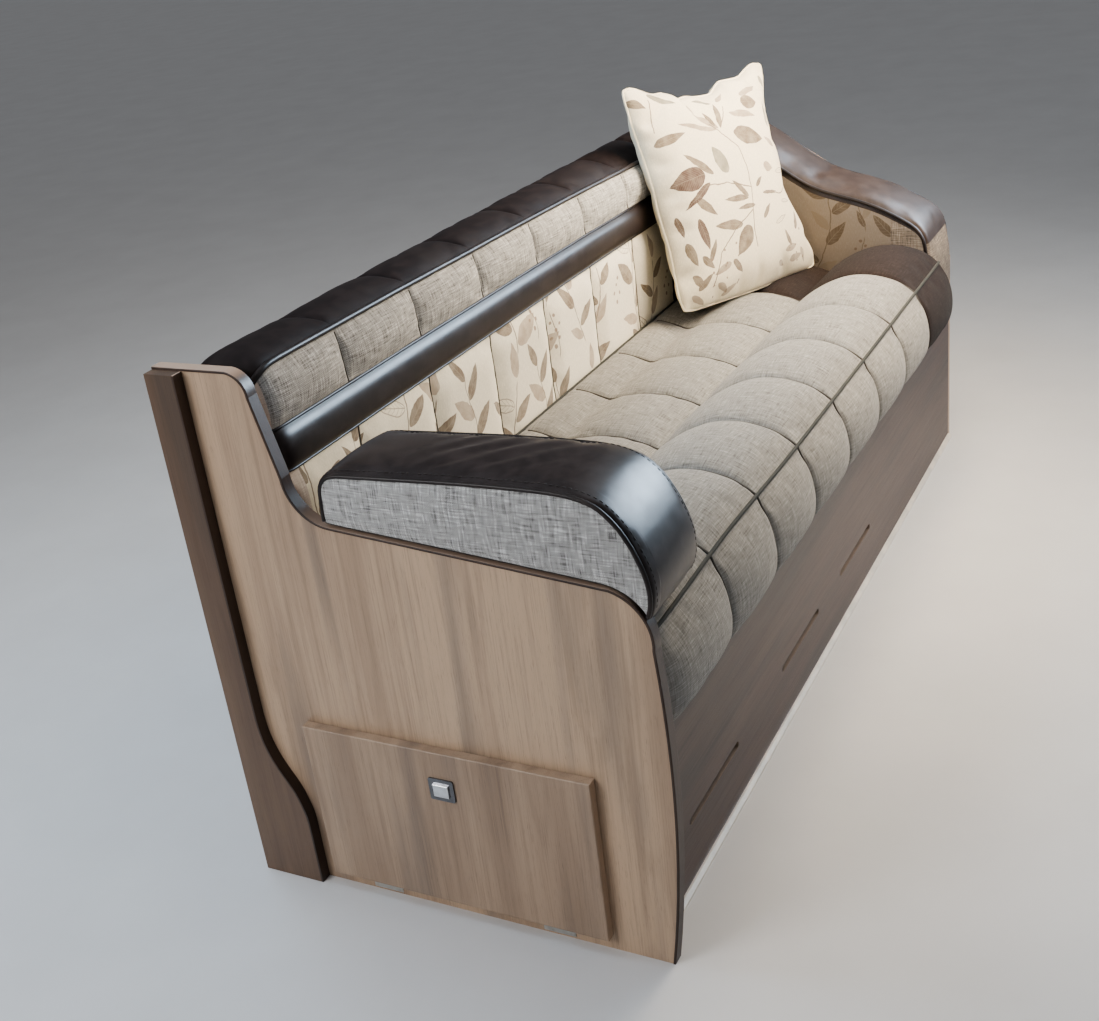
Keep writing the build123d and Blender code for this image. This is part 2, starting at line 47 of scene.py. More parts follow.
# ------------------------------------------------------------------ node helpers
class Nodes:
    def __init__(self, tree):
        self.t = tree

    def new(self, kind, **props):
        n = self.t.nodes.new(kind)
        for k, val in props.items():
            setattr(n, k, val)
        return n

    def put(self, inp, value):
        if isinstance(value, bpy.types.NodeSocket):
            self.t.links.new(value, inp)
        else:
            inp.default_value = value

    def math(self, op, a, b=None, c=None, clamp=False):
        n = self.new("ShaderNodeMath", operation=op, use_clamp=clamp)
        self.put(n.inputs[0], a)
        if b is not None:
            self.put(n.inputs[1], b)
        if c is not None:
            self.put(n.inputs[2], c)
        return n.outputs[0]

    def vmul(self, v, s):
        n = self.new("ShaderNodeVectorMath", operation="MULTIPLY")
        self.put(n.inputs[0], v)
        n.inputs[1].default_value = s
        return n.outputs[0]

    def vadd(self, a, b):
        n = self.new("ShaderNodeVectorMath", operation="ADD")
        self.put(n.inputs[0], a)
        self.put(n.inputs[1], b)
        return n.outputs[0]

    def split(self, v):
        n = self.new("ShaderNodeSeparateXYZ")
        self.put(n.inputs[0], v)
        return n.outputs[0], n.outputs[1], n.outputs[2]

    def join(self, x, y, z):
        n = self.new("ShaderNodeCombineXYZ")
        self.put(n.inputs[0], x)
        self.put(n.inputs[1], y)
        self.put(n.inputs[2], z)
        return n.outputs[0]

    def noise(self, v, scale=1.0, detail=2.0, rough=0.5, dist=0.0):
        n = self.new("ShaderNodeTexNoise")
        self.put(n.inputs["Vector"], v)
        n.inputs["Scale"].default_value = scale
        n.inputs["Detail"].default_value = detail
        n.inputs["Roughness"].default_value = rough
        n.inputs["Distortion"].default_value = dist
        return n.outputs[0]

    def noise_col(self, v, scale=1.0, detail=2.0):
        n = self.new("ShaderNodeTexNoise")
        self.put(n.inputs["Vector"], v)
        n.inputs["Scale"].default_value = scale
        n.inputs["Detail"].default_value = detail
        return n.outputs[1]

    def voronoi(self, v, scale=1.0, feature="DISTANCE_TO_EDGE", rnd=1.0):
        n = self.new("ShaderNodeTexVoronoi", feature=feature)
        self.put(n.inputs["Vector"], v)
        n.inputs["Scale"].default_value = scale
        n.inputs["Randomness"].default_value = rnd
        return n.outputs[0]

    def step(self, x, lo, hi, a=0.0, b=1.0):
        n = self.new("ShaderNodeMapRange", interpolation_type="SMOOTHSTEP")
        self.put(n.inputs[0], x)
        n.inputs[1].default_value = lo
        n.inputs[2].default_value = hi
        n.inputs[3].default_value = a
        n.inputs[4].default_value = b
        return n.outputs[0]

    def mix(self, fac, a, b):
        n = self.new("ShaderNodeMix", data_type="RGBA")
        self.put(n.inputs[0], fac)
        self.put(n.inputs[6], col(a) if not isinstance(a, bpy.types.NodeSocket) else a)
        self.put(n.inputs[7], col(b) if not isinstance(b, bpy.types.NodeSocket) else b)
        return n.outputs[2]

    def shade(self, colour, fac):
        """colour times a grey factor"""
        n = self.new("ShaderNodeVectorMath", operation="SCALE")
        self.put(n.inputs[0], colour)
        self.put(n.inputs[3], fac)
        return n.outputs[0]

    def bump(self, height, strength, distance, normal=None):
        n = self.new("ShaderNodeBump")
        n.inputs["Strength"].default_value = strength
        n.inputs["Distance"].default_value = distance
        self.put(n.inputs["Height"], height)
        if normal is not None:
            self.put(n.inputs["Normal"], normal)
        return n.outputs[0]


def col(c):
    return (c[0], c[1], c[2], 1.0)


def srgb(r, g, b):
    def f(x):
        x = x / 255.0
        return x / 12.92 if x <= 0.04045 else ((x + 0.055) / 1.055) ** 2.4
    return (f(r), f(g), f(b))


def material(name):
    m = bpy.data.materials.new(name)
    m.use_nodes = True
    m.node_tree.nodes.clear()
    return m, Nodes(m.node_tree)


def surface(N, base, rough, normal=None, metallic=0.0, sheen=0.0, sheen_rough=0.5, coat=0.0, coat_rough=0.1, spec=0.5):
    p = N.new("ShaderNodeBsdfPrincipled")
    N.put(p.inputs["Base Color"], col(base) if not isinstance(base, bpy.types.NodeSocket) else base)
    N.put(p.inputs["Roughness"], rough)
    p.inputs["Metallic"].default_value = metallic
    p.inputs["Sheen Weight"].default_value = sheen
    p.inputs["Sheen Roughness"].default_value = sheen_rough
    p.inputs["Coat Weight"].default_value = coat
    p.inputs["Coat Roughness"].default_value = coat_rough
    p.inputs["Specular IOR Level"].default_value = spec
    if normal is not None:
        N.put(p.inputs["Normal"], normal)
    o = N.new("ShaderNodeOutputMaterial")
    N.t.links.new(p.outputs[0], o.inputs[0])
    return p


def uv_mm(N):
    n = N.new("ShaderNodeUVMap", uv_map="UVMap")
    return N.vmul(n.outputs[0], (1000.0, 1000.0, 1000.0))


def obj_mm(N):
    n = N.new("ShaderNodeTexCoord")
    return N.vmul(n.outputs["Object"], (1000.0, 1000.0, 1000.0))


# ------------------------------------------------------------------ cloth and leather
def cloth_material(name, base, light, dark, slub=0.75, pitch=2.6, tint=0.06, k=1.0, depth=0.00045, grid=0.07, sheen=0.22):
    """Woven cloth: long light and dark yarns crossing each other, with thicker slubs and a fine over-under weave."""
    m, N = material(name)
    p = uv_mm(N)
    wob = N.noise_col(N.vmul(p, (0.02, 0.02, 0.02)), 1.0, 1.0)
    pw = N.vadd(p, N.vmul(wob, (2.0, 2.0, 0.0)))
    x, y, _ = N.split(pw)
    a = 2 * math.pi / pitch
    wx = N.math("SINE", N.math("MULTIPLY", x, a))
    wy = N.math("SINE", N.math("MULTIPLY", y, a))
    weave = N.math("MULTIPLY", wx, wy)
    up1 = N.noise(N.vmul(pw, (0.46 * k, 0.022 * k, 0.0)), 1.0, 3.0, 0.6)
    ac1 = N.noise(N.vadd(N.vmul(pw, (0.022 * k, 0.46 * k, 0.0)), (31.0, 17.0, 0.0)), 1.0, 3.0, 0.6)
    up2 = N.noise(N.vadd(N.vmul(pw, (0.20 * k, 0.030 * k, 0.0)), (-11.0, 57.0, 0.0)), 1.0, 2.0, 0.5)
    ac2 = N.noise(N.vadd(N.vmul(pw, (0.040 * k, 0.24 * k, 0.0)), (77.0, -9.0, 0.0)), 1.0, 2.0, 0.5)
    fine = N.math("ADD", up1, ac1)
    coarse = N.math("ADD", up2, ac2)
    tone = N.math("ADD", N.math("MULTIPLY", N.math("SUBTRACT", fine, 1.0), 1.9), N.math("MULTIPLY", N.math("SUBTRACT", coarse, 1.0), 1.1))
    dk = N.math("MULTIPLY", N.step(tone, 0.05, 0.62), slub)
    lt = N.step(tone, -0.05, -0.55)
    c = N.mix(lt, base, light)
    c = N.mix(dk, c, dark)
    big = N.noise(N.vmul(p, (0.006, 0.006, 0.0)), 1.0, 2.0)
    g = N.math("ADD", N.math("MULTIPLY", N.math("SUBTRACT", big, 0.5), tint * 2), 1.0)
    g = N.math("ADD", g, N.math("MULTIPLY", weave, grid))
    c = N.shade(c, g)
    h = N.math("ADD", N.math("MULTIPLY", weave, 0.5), N.math("MULTIPLY", tone, -0.7))
    nrm = N.bump(h, 0.55, depth)
    surface(N, c, 0.92, nrm, sheen=sheen, sheen_rough=0.5, spec=0.1)
    return m


def leather_material(name, c0, c1, rough=0.36, scale=1.0, worn=(0.060, 0.042, 0.034), crease_depth=0.0022, spec=0.42, grain_bump=0.03, crease_bump=0.13):
    m, N = material(name)
    p = obj_mm(N)
    cell = N.voronoi(p, 0.50 * scale)
    fine = N.noise(p, 0.9 * scale, 3.0, 0.6)
    big = N.noise(p, 0.012, 3.0, 0.55)
    mid = N.noise(p, 0.045, 3.0, 0.6)
    c = N.mix(N.step(mid, 0.35, 0.7), c0, c1)
    c = N.mix(N.math("MULTIPLY", N.step(big, 0.5, 0.75), 0.5), c, worn)
    c = N.mix(N.math("MULTIPLY", N.step(cell, 0.0, 0.25, 1.0, 0.0), 0.12), c, (c0[0] * 0.6, c0[1] * 0.6, c0[2] * 0.6))
    r = N.math("ADD", rough, N.math("MULTIPLY", N.math("SUBTRACT", mid, 0.5), 0.16))
    grain = N.step(cell, 0.0, 0.30)
    h = N.math("ADD", grain, N.math("MULTIPLY", fine, 0.5))
    n1 = N.bump(h, grain_bump, 0.0003)
    crease = N.noise(N.vmul(p, (0.030, 0.012, 0.030)), 1.0, 2.0, 0.5, 0.5)
    n2 = N.bump(crease, crease_bump, crease_depth, n1)
    surface(N, c, r, n2, spec=spec)
    return m


def leaf_group():
    """One leaf in a repeating tile: outline mask and vein mask from centre, turn, length and half width, all in mm."""
    g = bpy.data.node_groups.new("leaf_shape", "ShaderNodeTree")
    for nm in ("X", "Y", "CX", "CY", "Cos", "Sin", "Len", "Half", "TX", "TY"):
        g.interface.new_socket(name=nm, in_out="INPUT", socket_type="NodeSocketFloat")
    for nm in ("Mask", "Vein", "Rim"):
        g.interface.new_socket(name=nm, in_out="OUTPUT", socket_type="NodeSocketFloat")
    N = Nodes(g)
    gi = N.new("NodeGroupInput")
    go = N.new("NodeGroupOutput")
    I = gi.outputs
    hx = N.math("MULTIPLY", I["TX"], 0.5)
    hy = N.math("MULTIPLY", I["TY"], 0.5)
    dx = N.math("WRAP", N.math("SUBTRACT", I["X"], I["CX"]), hx, N.math("MULTIPLY", hx, -1.0))
    dy = N.math("WRAP", N.math("SUBTRACT", I["Y"], I["CY"]), hy, N.math("MULTIPLY", hy, -1.0))
    lx = N.math("ADD", N.math("MULTIPLY", dx, I["Cos"]), N.math("MULTIPLY", dy, I["Sin"]))
    ly = N.math("SUBTRACT", N.math("MULTIPLY", dy, I["Cos"]), N.math("MULTIPLY", dx, I["Sin"]))
    t = N.math("ADD", N.math("DIVIDE", lx, I["Len"]), 0.5)
    tc = N.math("MINIMUM", N.math("MAXIMUM", t, 0.0), 1.0)
    # widest at 0.38 of the length, pointed tip, rounder base
    prof = N.math("MULTIPLY", N.math("POWER", tc, 0.62), N.math("SUBTRACT", 1.0, tc))
    w = N.math("MULTIPLY", N.math("MULTIPLY", prof, 2.55), I["Half"])
    ay = N.math("ABSOLUTE", ly)
    m = N.step(N.math("SUBTRACT", w, ay), 0.0, 0.6)
    mid = N.step(ay, 0.25, 0.7, 1.0, 0.0)
    side = N.math("SINE", N.math("MULTIPLY", N.math("SUBTRACT", lx, N.math("MULTIPLY", ay, 1.1)), 0.95))
    sv = N.step(side, 0.80, 0.97)
    v = N.math("MULTIPLY", N.math("MAXIMUM", mid, N.math("MULTIPLY", sv, 0.6)), m)
    N.t.links.new(m, go.inputs["Mask"])
    N.t.links.new(v, go.inputs["Vein"])
    rim = N.math("MULTIPLY", m, N.step(N.math("SUBTRACT", w, ay), 1.0, 2.2, 1.0, 0.0))
    N.t.links.new(rim, go.inputs["Rim"])
    return g


LEAF = leaf_group()
PRINT_SCALE = 1.45


def print_material(name, ground=(0.76, 0.72, 0.62), ink=1.0, layout=None, lines=(), specks=()):
    """Cream cloth printed with trailing leaf sprigs, repeating every TX by TY mm; a layout places the leaves one by one."""
    m, N = material(name)
    p = uv_mm(N)
    wob = N.noise_col(N.vmul(p, (0.05, 0.05, 0.0)), 1.0, 2.0)
    size = 1.0 if layout else PRINT_SCALE
    pw = N.vmul(N.vadd(p, N.vmul(wob, (6.0, 6.0, 0.0))), (1 / size, 1 / size, 1.0))
    x, y, _ = N.split(pw)
    TX, TY = (540.0, 540.0) if layout else (262.0, 300.0)

    def leaf(cx, cy, deg, length, half):
        n = N.new("ShaderNodeGroup")
        n.node_tree = LEAF
        N.put(n.inputs["X"], x)
        N.put(n.inputs["Y"], y)
        a = math.radians(deg)
        for key, val in (("CX", cx), ("CY", cy), ("Cos", math.cos(a)), ("Sin", math.sin(a)),
                         ("Len", length), ("Half", half), ("TX", TX), ("TY", TY)):
            n.inputs[key].default_value = val
        return n.outputs[0], n.outputs[1], n.outputs[2]

    def stem(x0, amp, phase, turns, half, y0=None, y1=None):
        s = N.math("SINE", N.math("ADD", N.math("MULTIPLY", y, 2 * math.pi * turns / TY), phase))
        d = N.math("SUBTRACT", x, N.math("ADD", N.math("MULTIPLY", s, amp), x0))
        d = N.math("WRAP", d, TX / 2, -TX / 2)
        st = N.step(N.math("ABSOLUTE", d), half * 0.7, half * 0.7 + 0.5, 1.0, 0.0)
        if y0 is not None:
            yy = N.math("WRAP", y, TY, 0.0)
            st = N.math("MULTIPLY", st, N.math("MULTIPLY", N.step(yy, y0, y0 + 6), N.step(yy, y1 - 6, y1, 1.0, 0.0)))
        return st

    def on_stem(x0, amp, phase, turns, yy):
        return x0 + amp * math.sin(2 * math.pi * turns * yy / TY + phase)

    def segment(a, b, half):
        ex, ey = b[0] - a[0], b[1] - a[1]
        dx, dy = N.math("SUBTRACT", x, a[0]), N.math("SUBTRACT", y, a[1])
        t = N.math("DIVIDE", N.math("ADD", N.math("MULTIPLY", dx, ex), N.math("MULTIPLY", dy, ey)), ex * ex + ey * ey, clamp=True)
        dx, dy = N.math("SUBTRACT", dx, N.math("MULTIPLY", t, ex)), N.math("SUBTRACT", dy, N.math("MULTIPLY", t, ey))
        d = N.math("SQRT", N.math("ADD", N.math("MULTIPLY", dx, dx), N.math("MULTIPLY", dy, dy)))
        return N.step(d, half, half + 0.6, 1.0, 0.0)

    brown, tan, veins, stems, rims, green, dark = [], [], [], [], [], [], []

    def grow(S, rows, gap):
        for yy, sd, dg, ln, hf, kind in () if layout else rows:
            sx = on_stem(*S, yy)
            a = math.radians(dg)
            m_, v_, r_ = leaf(sx + math.cos(a) * (ln / 2 + gap), yy + math.sin(a) * (ln / 2 + gap), dg, ln, hf)
            if kind == "b":
                brown.append(m_)
                veins.append(v_)
            elif kind == "t":
                tan.append(m_)
                veins.append(v_)
            else:
                rims.append(r_)
                rims.append(v_)

    # a stem with broad leaves, and one with narrower leaves, some drawn only in outline
    if layout:
        for cx, cy, dg, ln, hf, kind in layout:
            m_, v_, r_ = leaf(float(cx), float(cy), float(dg), float(ln), float(hf))
            {"b": brown, "t": tan, "g": green, "d": dark, "o": rims}[kind].append(r_ if kind == "o" else m_)
            veins.append(v_)
        for path in lines:
            stems += [segment(a, b, 0.9) for a, b in zip(path[:-1], path[1:])]
    A = (66.0, 17.0, 0.6, 1.0)
    B = (196.0, 20.0, 2.6, 1.0)
    if not layout:
        stems.append(stem(*A, 0.9, 8.0, 282.0))
        stems.append(stem(*B, 0.7, 4.0, 262.0))
    grow(A, ((20, 1, 22, 58, 14.5, "t"), (40, -1, 152, 50, 13.5, "b"), (70, 1, 48, 44, 9.0, "b"), (92, -1, 128, 62, 15.5, "b"),
             (120, 1, 12, 56, 15.0, "t"), (150, -1, 160, 48, 9.5, "t"), (168, 1, 40, 60, 15.5, "b"), (206, -1, 136, 54, 13.5, "b"),
             (232, 1, 28, 46, 10.0, "b"), (252, -1, 158, 42, 10.5, "o"), (282, -1, 92, 44, 11.5, "t")), 3)
    grow(B, ((14, -1, 150, 38, 8.5, "t"), (30, 1, 34, 44, 9.5, "b"), (58, -1, 130, 46, 10.5, "b"), (82, 1, 46, 40, 8.5, "t"),
             (106, -1, 148, 42, 9.5, "b"), (130, 1, 26, 48, 11.0, "b"), (160, -1, 128, 40, 8.5, "o"), (182, 1, 52, 44, 10.0, "t"),
             (208, -1, 140, 40, 8.5, "b"), (232, 1, 36, 40, 9.0, "b"), (262, 1, 88, 36, 8.5, "t")), 2)
    C = (128.0, 6.0, 0.0, 3.0)
    grow(C, ((84, 1, 64, 30, 5.5, "b"), (98, -1, 120, 32, 6.0, "t"), (118, 1, 50, 34, 6.0, "b"), (140, -1, 132, 34, 6.5, "b"),
             (168, 1, 58, 30, 5.5, "t"), (190, -1, 118, 30, 5.5, "b"), (212, 1, 40, 46, 10.5, "b"), (234, -1, 140, 48, 11.0, "t"),
             (256, 1, 54, 44, 9.5, "b"), (280, -1, 118, 38, 8.5, "b")), 1.5)
    if not layout:
        stems.append(stem(*C, 0.5, 78.0, 290.0))
    # sprays of berries
    dots = []
    for cx, cy, r in ((128, 26, 3.0), (136, 35, 2.5), (122, 38, 2.3), (131, 46, 2.8), (139, 53, 2.1), (123, 58, 2.2), (131, 66, 2.4),
                      (256, 196, 2.8), (4, 206, 2.4), (250, 210, 2.6), (258, 220, 2.1), (2, 228, 2.6)) if not layout else specks:
        dx = N.math("WRAP", N.math("SUBTRACT", x, cx), TX / 2, -TX / 2)
        dy = N.math("WRAP", N.math("SUBTRACT", y, cy), TY / 2, -TY / 2)
        d = N.math("SQRT", N.math("ADD", N.math("MULTIPLY", dx, dx), N.math("MULTIPLY", dy, dy)))
        dots.append(N.step(d, r * 0.8, r * 1.2, 1.0, 0.0))
    if not layout:
        stems.append(stem(130.0, 5.0, 0.0, 3.0, 0.5, 8.0, 74.0))

    def most(ms):
        out = ms[0]
        for k in ms[1:]:
            out = N.math("MAXIMUM", out, k)
        return out

    mb, mt, mv, ms, md, mr = most(brown), most(tan), most(veins), most(stems), most(dots), most(rims)
    patch = N.noise(N.vmul(p, (0.05, 0.05, 0.0)), 1.0, 3.0)
    yarn = N.noise(N.vmul(p, (0.7, 0.12, 0.0)), 1.0, 2.0)
    yarn2 = N.noise(N.vmul(p, (0.12, 0.7, 0.0)), 1.0, 2.0)
    c = N.mix(N.step(yarn, 0.45, 0.7), ground, (ground[0] * 1.12, ground[1] * 1.12, ground[2] * 1.14))
    c = N.mix(N.math("MULTIPLY", N.step(yarn2, 0.55, 0.72), 0.35), c, (ground[0] * 0.78, ground[1] * 0.77, ground[2] * 0.74))
    c = N.mix(N.math("MULTIPLY", mt, N.step(patch, 0.2, 0.75, 0.62, 0.95)), c, tuple(ink * q for q in (0.43, 0.345, 0.27)))
    c = N.mix(N.math("MULTIPLY", mb, N.step(patch, 0.2, 0.75, 0.75, 1.0)), c, tuple(ink * q for q in (0.232, 0.176, 0.125)))
    if layout:
        c = N.mix(N.math("MULTIPLY", most(green), N.step(patch, 0.2, 0.75, 0.65, 0.95)), c, tuple(ink * q for q in (0.27, 0.255, 0.20)))
        c = N.mix(N.math("MULTIPLY", most(dark), N.step(patch, 0.2, 0.75, 0.85, 1.0)), c, tuple(ink * q for q in (0.150, 0.092, 0.070)))
    c = N.mix(N.math("MULTIPLY", mr, 0.75), c, tuple(ink * q for q in (0.30, 0.23, 0.17)))
    c = N.mix(N.math("MULTIPLY", ms, 0.85), c, tuple(ink * q for q in (0.25, 0.19, 0.14)))
    c = N.mix(N.math("MULTIPLY", md, 0.8), c, tuple(ink * q for q in (0.30, 0.21, 0.15)))
    c = N.mix(N.math("MULTIPLY", mv, 0.55), c, tuple(ink * q for q in (0.46, 0.40, 0.31)))
    a = 2 * math.pi / 2.2
    px, py, _ = N.split(p)
    weave = N.math("MULTIPLY", N.math("SINE", N.math("MULTIPLY", px, a)), N.math("SINE", N.math("MULTIPLY", py, a)))
    c = N.shade(c, N.math("ADD", 1.0, N.math("MULTIPLY", weave, 0.05)))
    nrm = N.bump(N.math("ADD", weave, yarn), 0.4, 0.0004)
    surface(N, c, 0.9, nrm, sheen=0.2, spec=0.2)
    return m


def lining_material():
    m, N = material("lining_cloth")
    p = obj_mm(N)
    n1 = N.noise(N.vmul(p, (0.9, 0.9, 0.9)), 1.0, 3.0, 0.7)
    n2 = N.noise(p, 0.02, 2.0)
    c = N.mix(n1, (0.045, 0.040, 0.037), (0.085, 0.078, 0.072))
    c = N.shade(c, N.math("ADD", 0.85, N.math("MULTIPLY", n2, 0.3)))
    x, y, z = N.split(p)
    w = N.math("MULTIPLY", N.math("SINE", N.math("MULTIPLY", x, 1.9)), N.math("SINE", N.math("MULTIPLY", N.math("ADD", y, z), 1.9)))
    surface(N, c, 0.95, N.bump(N.math("ADD", w, n1), 0.4, 0.0004), spec=0.2)
    return m


# ------------------------------------------------------------------ wood, metal, plastic
def wood_material(name, along, light, mid, dark, rough=0.42, band=1.0, figure=1.0, seed=0.0, coat=0.0, bump=0.16):
    """Wood grain running along one axis: broad streaks, a few long cathedral lines, fine fibres and short pores."""
    m, N = material(name)
    p = N.vadd(obj_mm(N), (seed * 370.0, seed * 910.0, seed * 530.0))
    lum = sum(dark) / 3.0
    grey = tuple(0.58 * k + 0.46 * lum + 0.006 for k in dark)

    def stretched(across, lengthways):
        s = [across, across, across]
        s[along] = lengthways
        return N.vmul(p, tuple(s))

    broad = N.noise(stretched(0.0105 * band, 0.0007), 1.0, 2.0, 0.5)
    broad2 = N.noise(N.vadd(stretched(0.016 * band, 0.0016), (41.0, 13.0, 7.0)), 1.0, 2.5, 0.55)
    streak = N.noise(stretched(0.060 * band, 0.0018), 1.0, 3.0, 0.6)
    warp = N.noise(stretched(0.0100, 0.0010), 1.0, 1.5, 0.5)
    ring = N.math("SINE", N.math("MULTIPLY", warp, 46.0 * figure))
    fibre = N.noise(stretched(0.62, 0.008), 1.0, 3.0, 0.65)
    pore = N.noise(stretched(1.5, 0.05), 1.0, 2.0, 0.5)
    c = N.mix(N.step(broad, 0.36, 0.60), mid, light)
    c = N.mix(N.math("MULTIPLY", N.step(broad2, 0.50, 0.70), 0.55), c, grey)
    c = N.mix(N.math("MULTIPLY", N.step(broad2, 0.46, 0.34), 0.55), c, light)
    c = N.mix(N.math("MULTIPLY", N.step(streak, 0.50, 0.72), 0.36), c, dark)
    c = N.mix(N.math("MULTIPLY", N.step(streak, 0.46, 0.30), 0.30), c, light)
    c = N.mix(N.math("MULTIPLY", N.step(ring, 0.55, 1.0), 0.12), c, dark)
    c = N.mix(N.math("MULTIPLY", N.step(fibre, 0.50, 0.72), 0.38), c, dark)
    c = N.mix(N.math("MULTIPLY", N.step(fibre, 0.48, 0.28), 0.25), c, light)
    c = N.mix(N.math("MULTIPLY", N.step(pore, 0.62, 0.72), 0.40), c, (dark[0] * 0.6, dark[1] * 0.6, dark[2] * 0.6))
    h = N.math("SUBTRACT", fibre, N.math("MULTIPLY", N.step(pore, 0.60, 0.72), 0.6))
    r = N.math("ADD", rough, N.math("MULTIPLY", N.math("SUBTRACT", fibre, 0.5), 0.15))
    surface(N, c, r, N.bump(h, bump, 0.0004), coat=coat, coat_rough=0.25)
    return m, N, c


def ply_material(name, along):
    """Birch plywood: pale face veneer, and thin light and dark plies where a cut edge shows."""
    m, N = material(name)
    p = obj_mm(N)
    s = [0.02, 0.02, 0.02]
    s[along] = 0.003
    f = N.noise(N.vmul(p, tuple(s)), 1.0, 4.0, 0.6, 1.2)
    s2 = [0.6, 0.6, 0.6]
    s2[along] = 0.02
    fi = N.noise(N.vmul(p, tuple(s2)), 1.0, 3.0, 0.6)
    c = N.mix(N.step(f, 0.35, 0.7), (0.60, 0.46, 0.31), (0.70, 0.57, 0.41))
    c = N.mix(N.math("MULTIPLY", N.step(fi, 0.5, 0.7), 0.3), c, (0.45, 0.32, 0.20))
    tc = N.new("ShaderNodeTexCoord")
    nx, ny, nz = N.split(tc.outputs["Normal"])
    x, y, z = N.split(p)
    flat = N.step(N.math("ABSOLUTE", nz), 0.5, 0.7)
    bands = N.math("SINE", N.math("MULTIPLY", z, 2 * math.pi / 3.0))
    edge = N.mix(N.step(bands, -0.2, 0.2), (0.36, 0.24, 0.15), (0.64, 0.50, 0.34))
    c = N.mix(flat, edge, c)
    surface(N, c, 0.62, N.bump(fi, 0.25, 0.0004))
    return m


def metal_material(name, base, rough, brushed=False):
    m, N = material(name)
    p = obj_mm(N)
    n1 = N.noise(p, 0.08, 3.0, 0.6)
    n2 = N.noise(N.vmul(p, (3.0, 0.15, 3.0)) if brushed else p, 1.0 if brushed else 1.6, 2.0)
    c = N.mix(N.step(n1, 0.4, 0.75), base, (base[0] * 0.78, base[1] * 0.77, base[2] * 0.75))
    r = N.math("ADD", rough, N.math("MULTIPLY", N.math("SUBTRACT", n1, 0.5), 0.16))
    surface(N, c, r, N.bump(n2, 0.08, 0.0002), metallic=1.0)
    return m


def plastic_material(name, base, rough=0.45, grain=0.15):
    m, N = material(name)
    p = obj_mm(N)
    n1 = N.noise(p, 1.4, 2.0)
    n2 = N.noise(p, 0.02, 3.0)
    c = N.mix(N.step(n2, 0.35, 0.7), base, (base[0] * 1.25 + 0.005, base[1] * 1.22 + 0.004, base[2] * 1.2 + 0.004))
    r = N.math("ADD", rough, N.math("MULTIPLY", N.math("SUBTRACT", n2, 0.5), 0.2))
    surface(N, c, r, N.bump(n1, grain, 0.0003))
    return m


M = {}
M["tweed"] = cloth_material("tweed_cloth", (0.40, 0.392, 0.380), (0.66, 0.657, 0.645), (0.082, 0.076, 0.071), slub=0.80, pitch=3.4, k=1.15, grid=0.15, depth=0.0006)
M["seat"] = cloth_material("seat_cloth", (0.254, 0.246, 0.231), (0.361, 0.355, 0.337), (0.083, 0.077, 0.070), slub=0.68, pitch=2.6, k=1.3, grid=0.10, depth=0.0005)
# painted shade: a dark copy of the seat cloth for the far end channel, darkened as if that channel lay in shadow
M["seat_end"] = cloth_material("seat_end_cloth", (0.029, 0.0205, 0.0175), (0.046, 0.033, 0.028), (0.0135, 0.0098, 0.0085), slub=0.5, pitch=2.6, k=1.3, sheen=0.04)
# painted shade: a darker, browner copy of the tweed for the bolster's aisle end, which lies in shadow
M["tweed_shade"] = cloth_material("tweed_cloth_dark", (0.20, 0.17, 0.145), (0.33, 0.29, 0.25), (0.05, 0.042, 0.036), slub=0.78, pitch=3.4, k=1.15, grid=0.15, depth=0.0006, sheen=0.05)
M["boxing"] = cloth_material("boxing_cloth", (0.66, 0.59, 0.54), (0.78, 0.72, 0.67), (0.38, 0.33, 0.29), slub=0.35, pitch=2.6)
M["print"] = print_material("leaf_print", (0.81, 0.765, 0.645), 0.92)
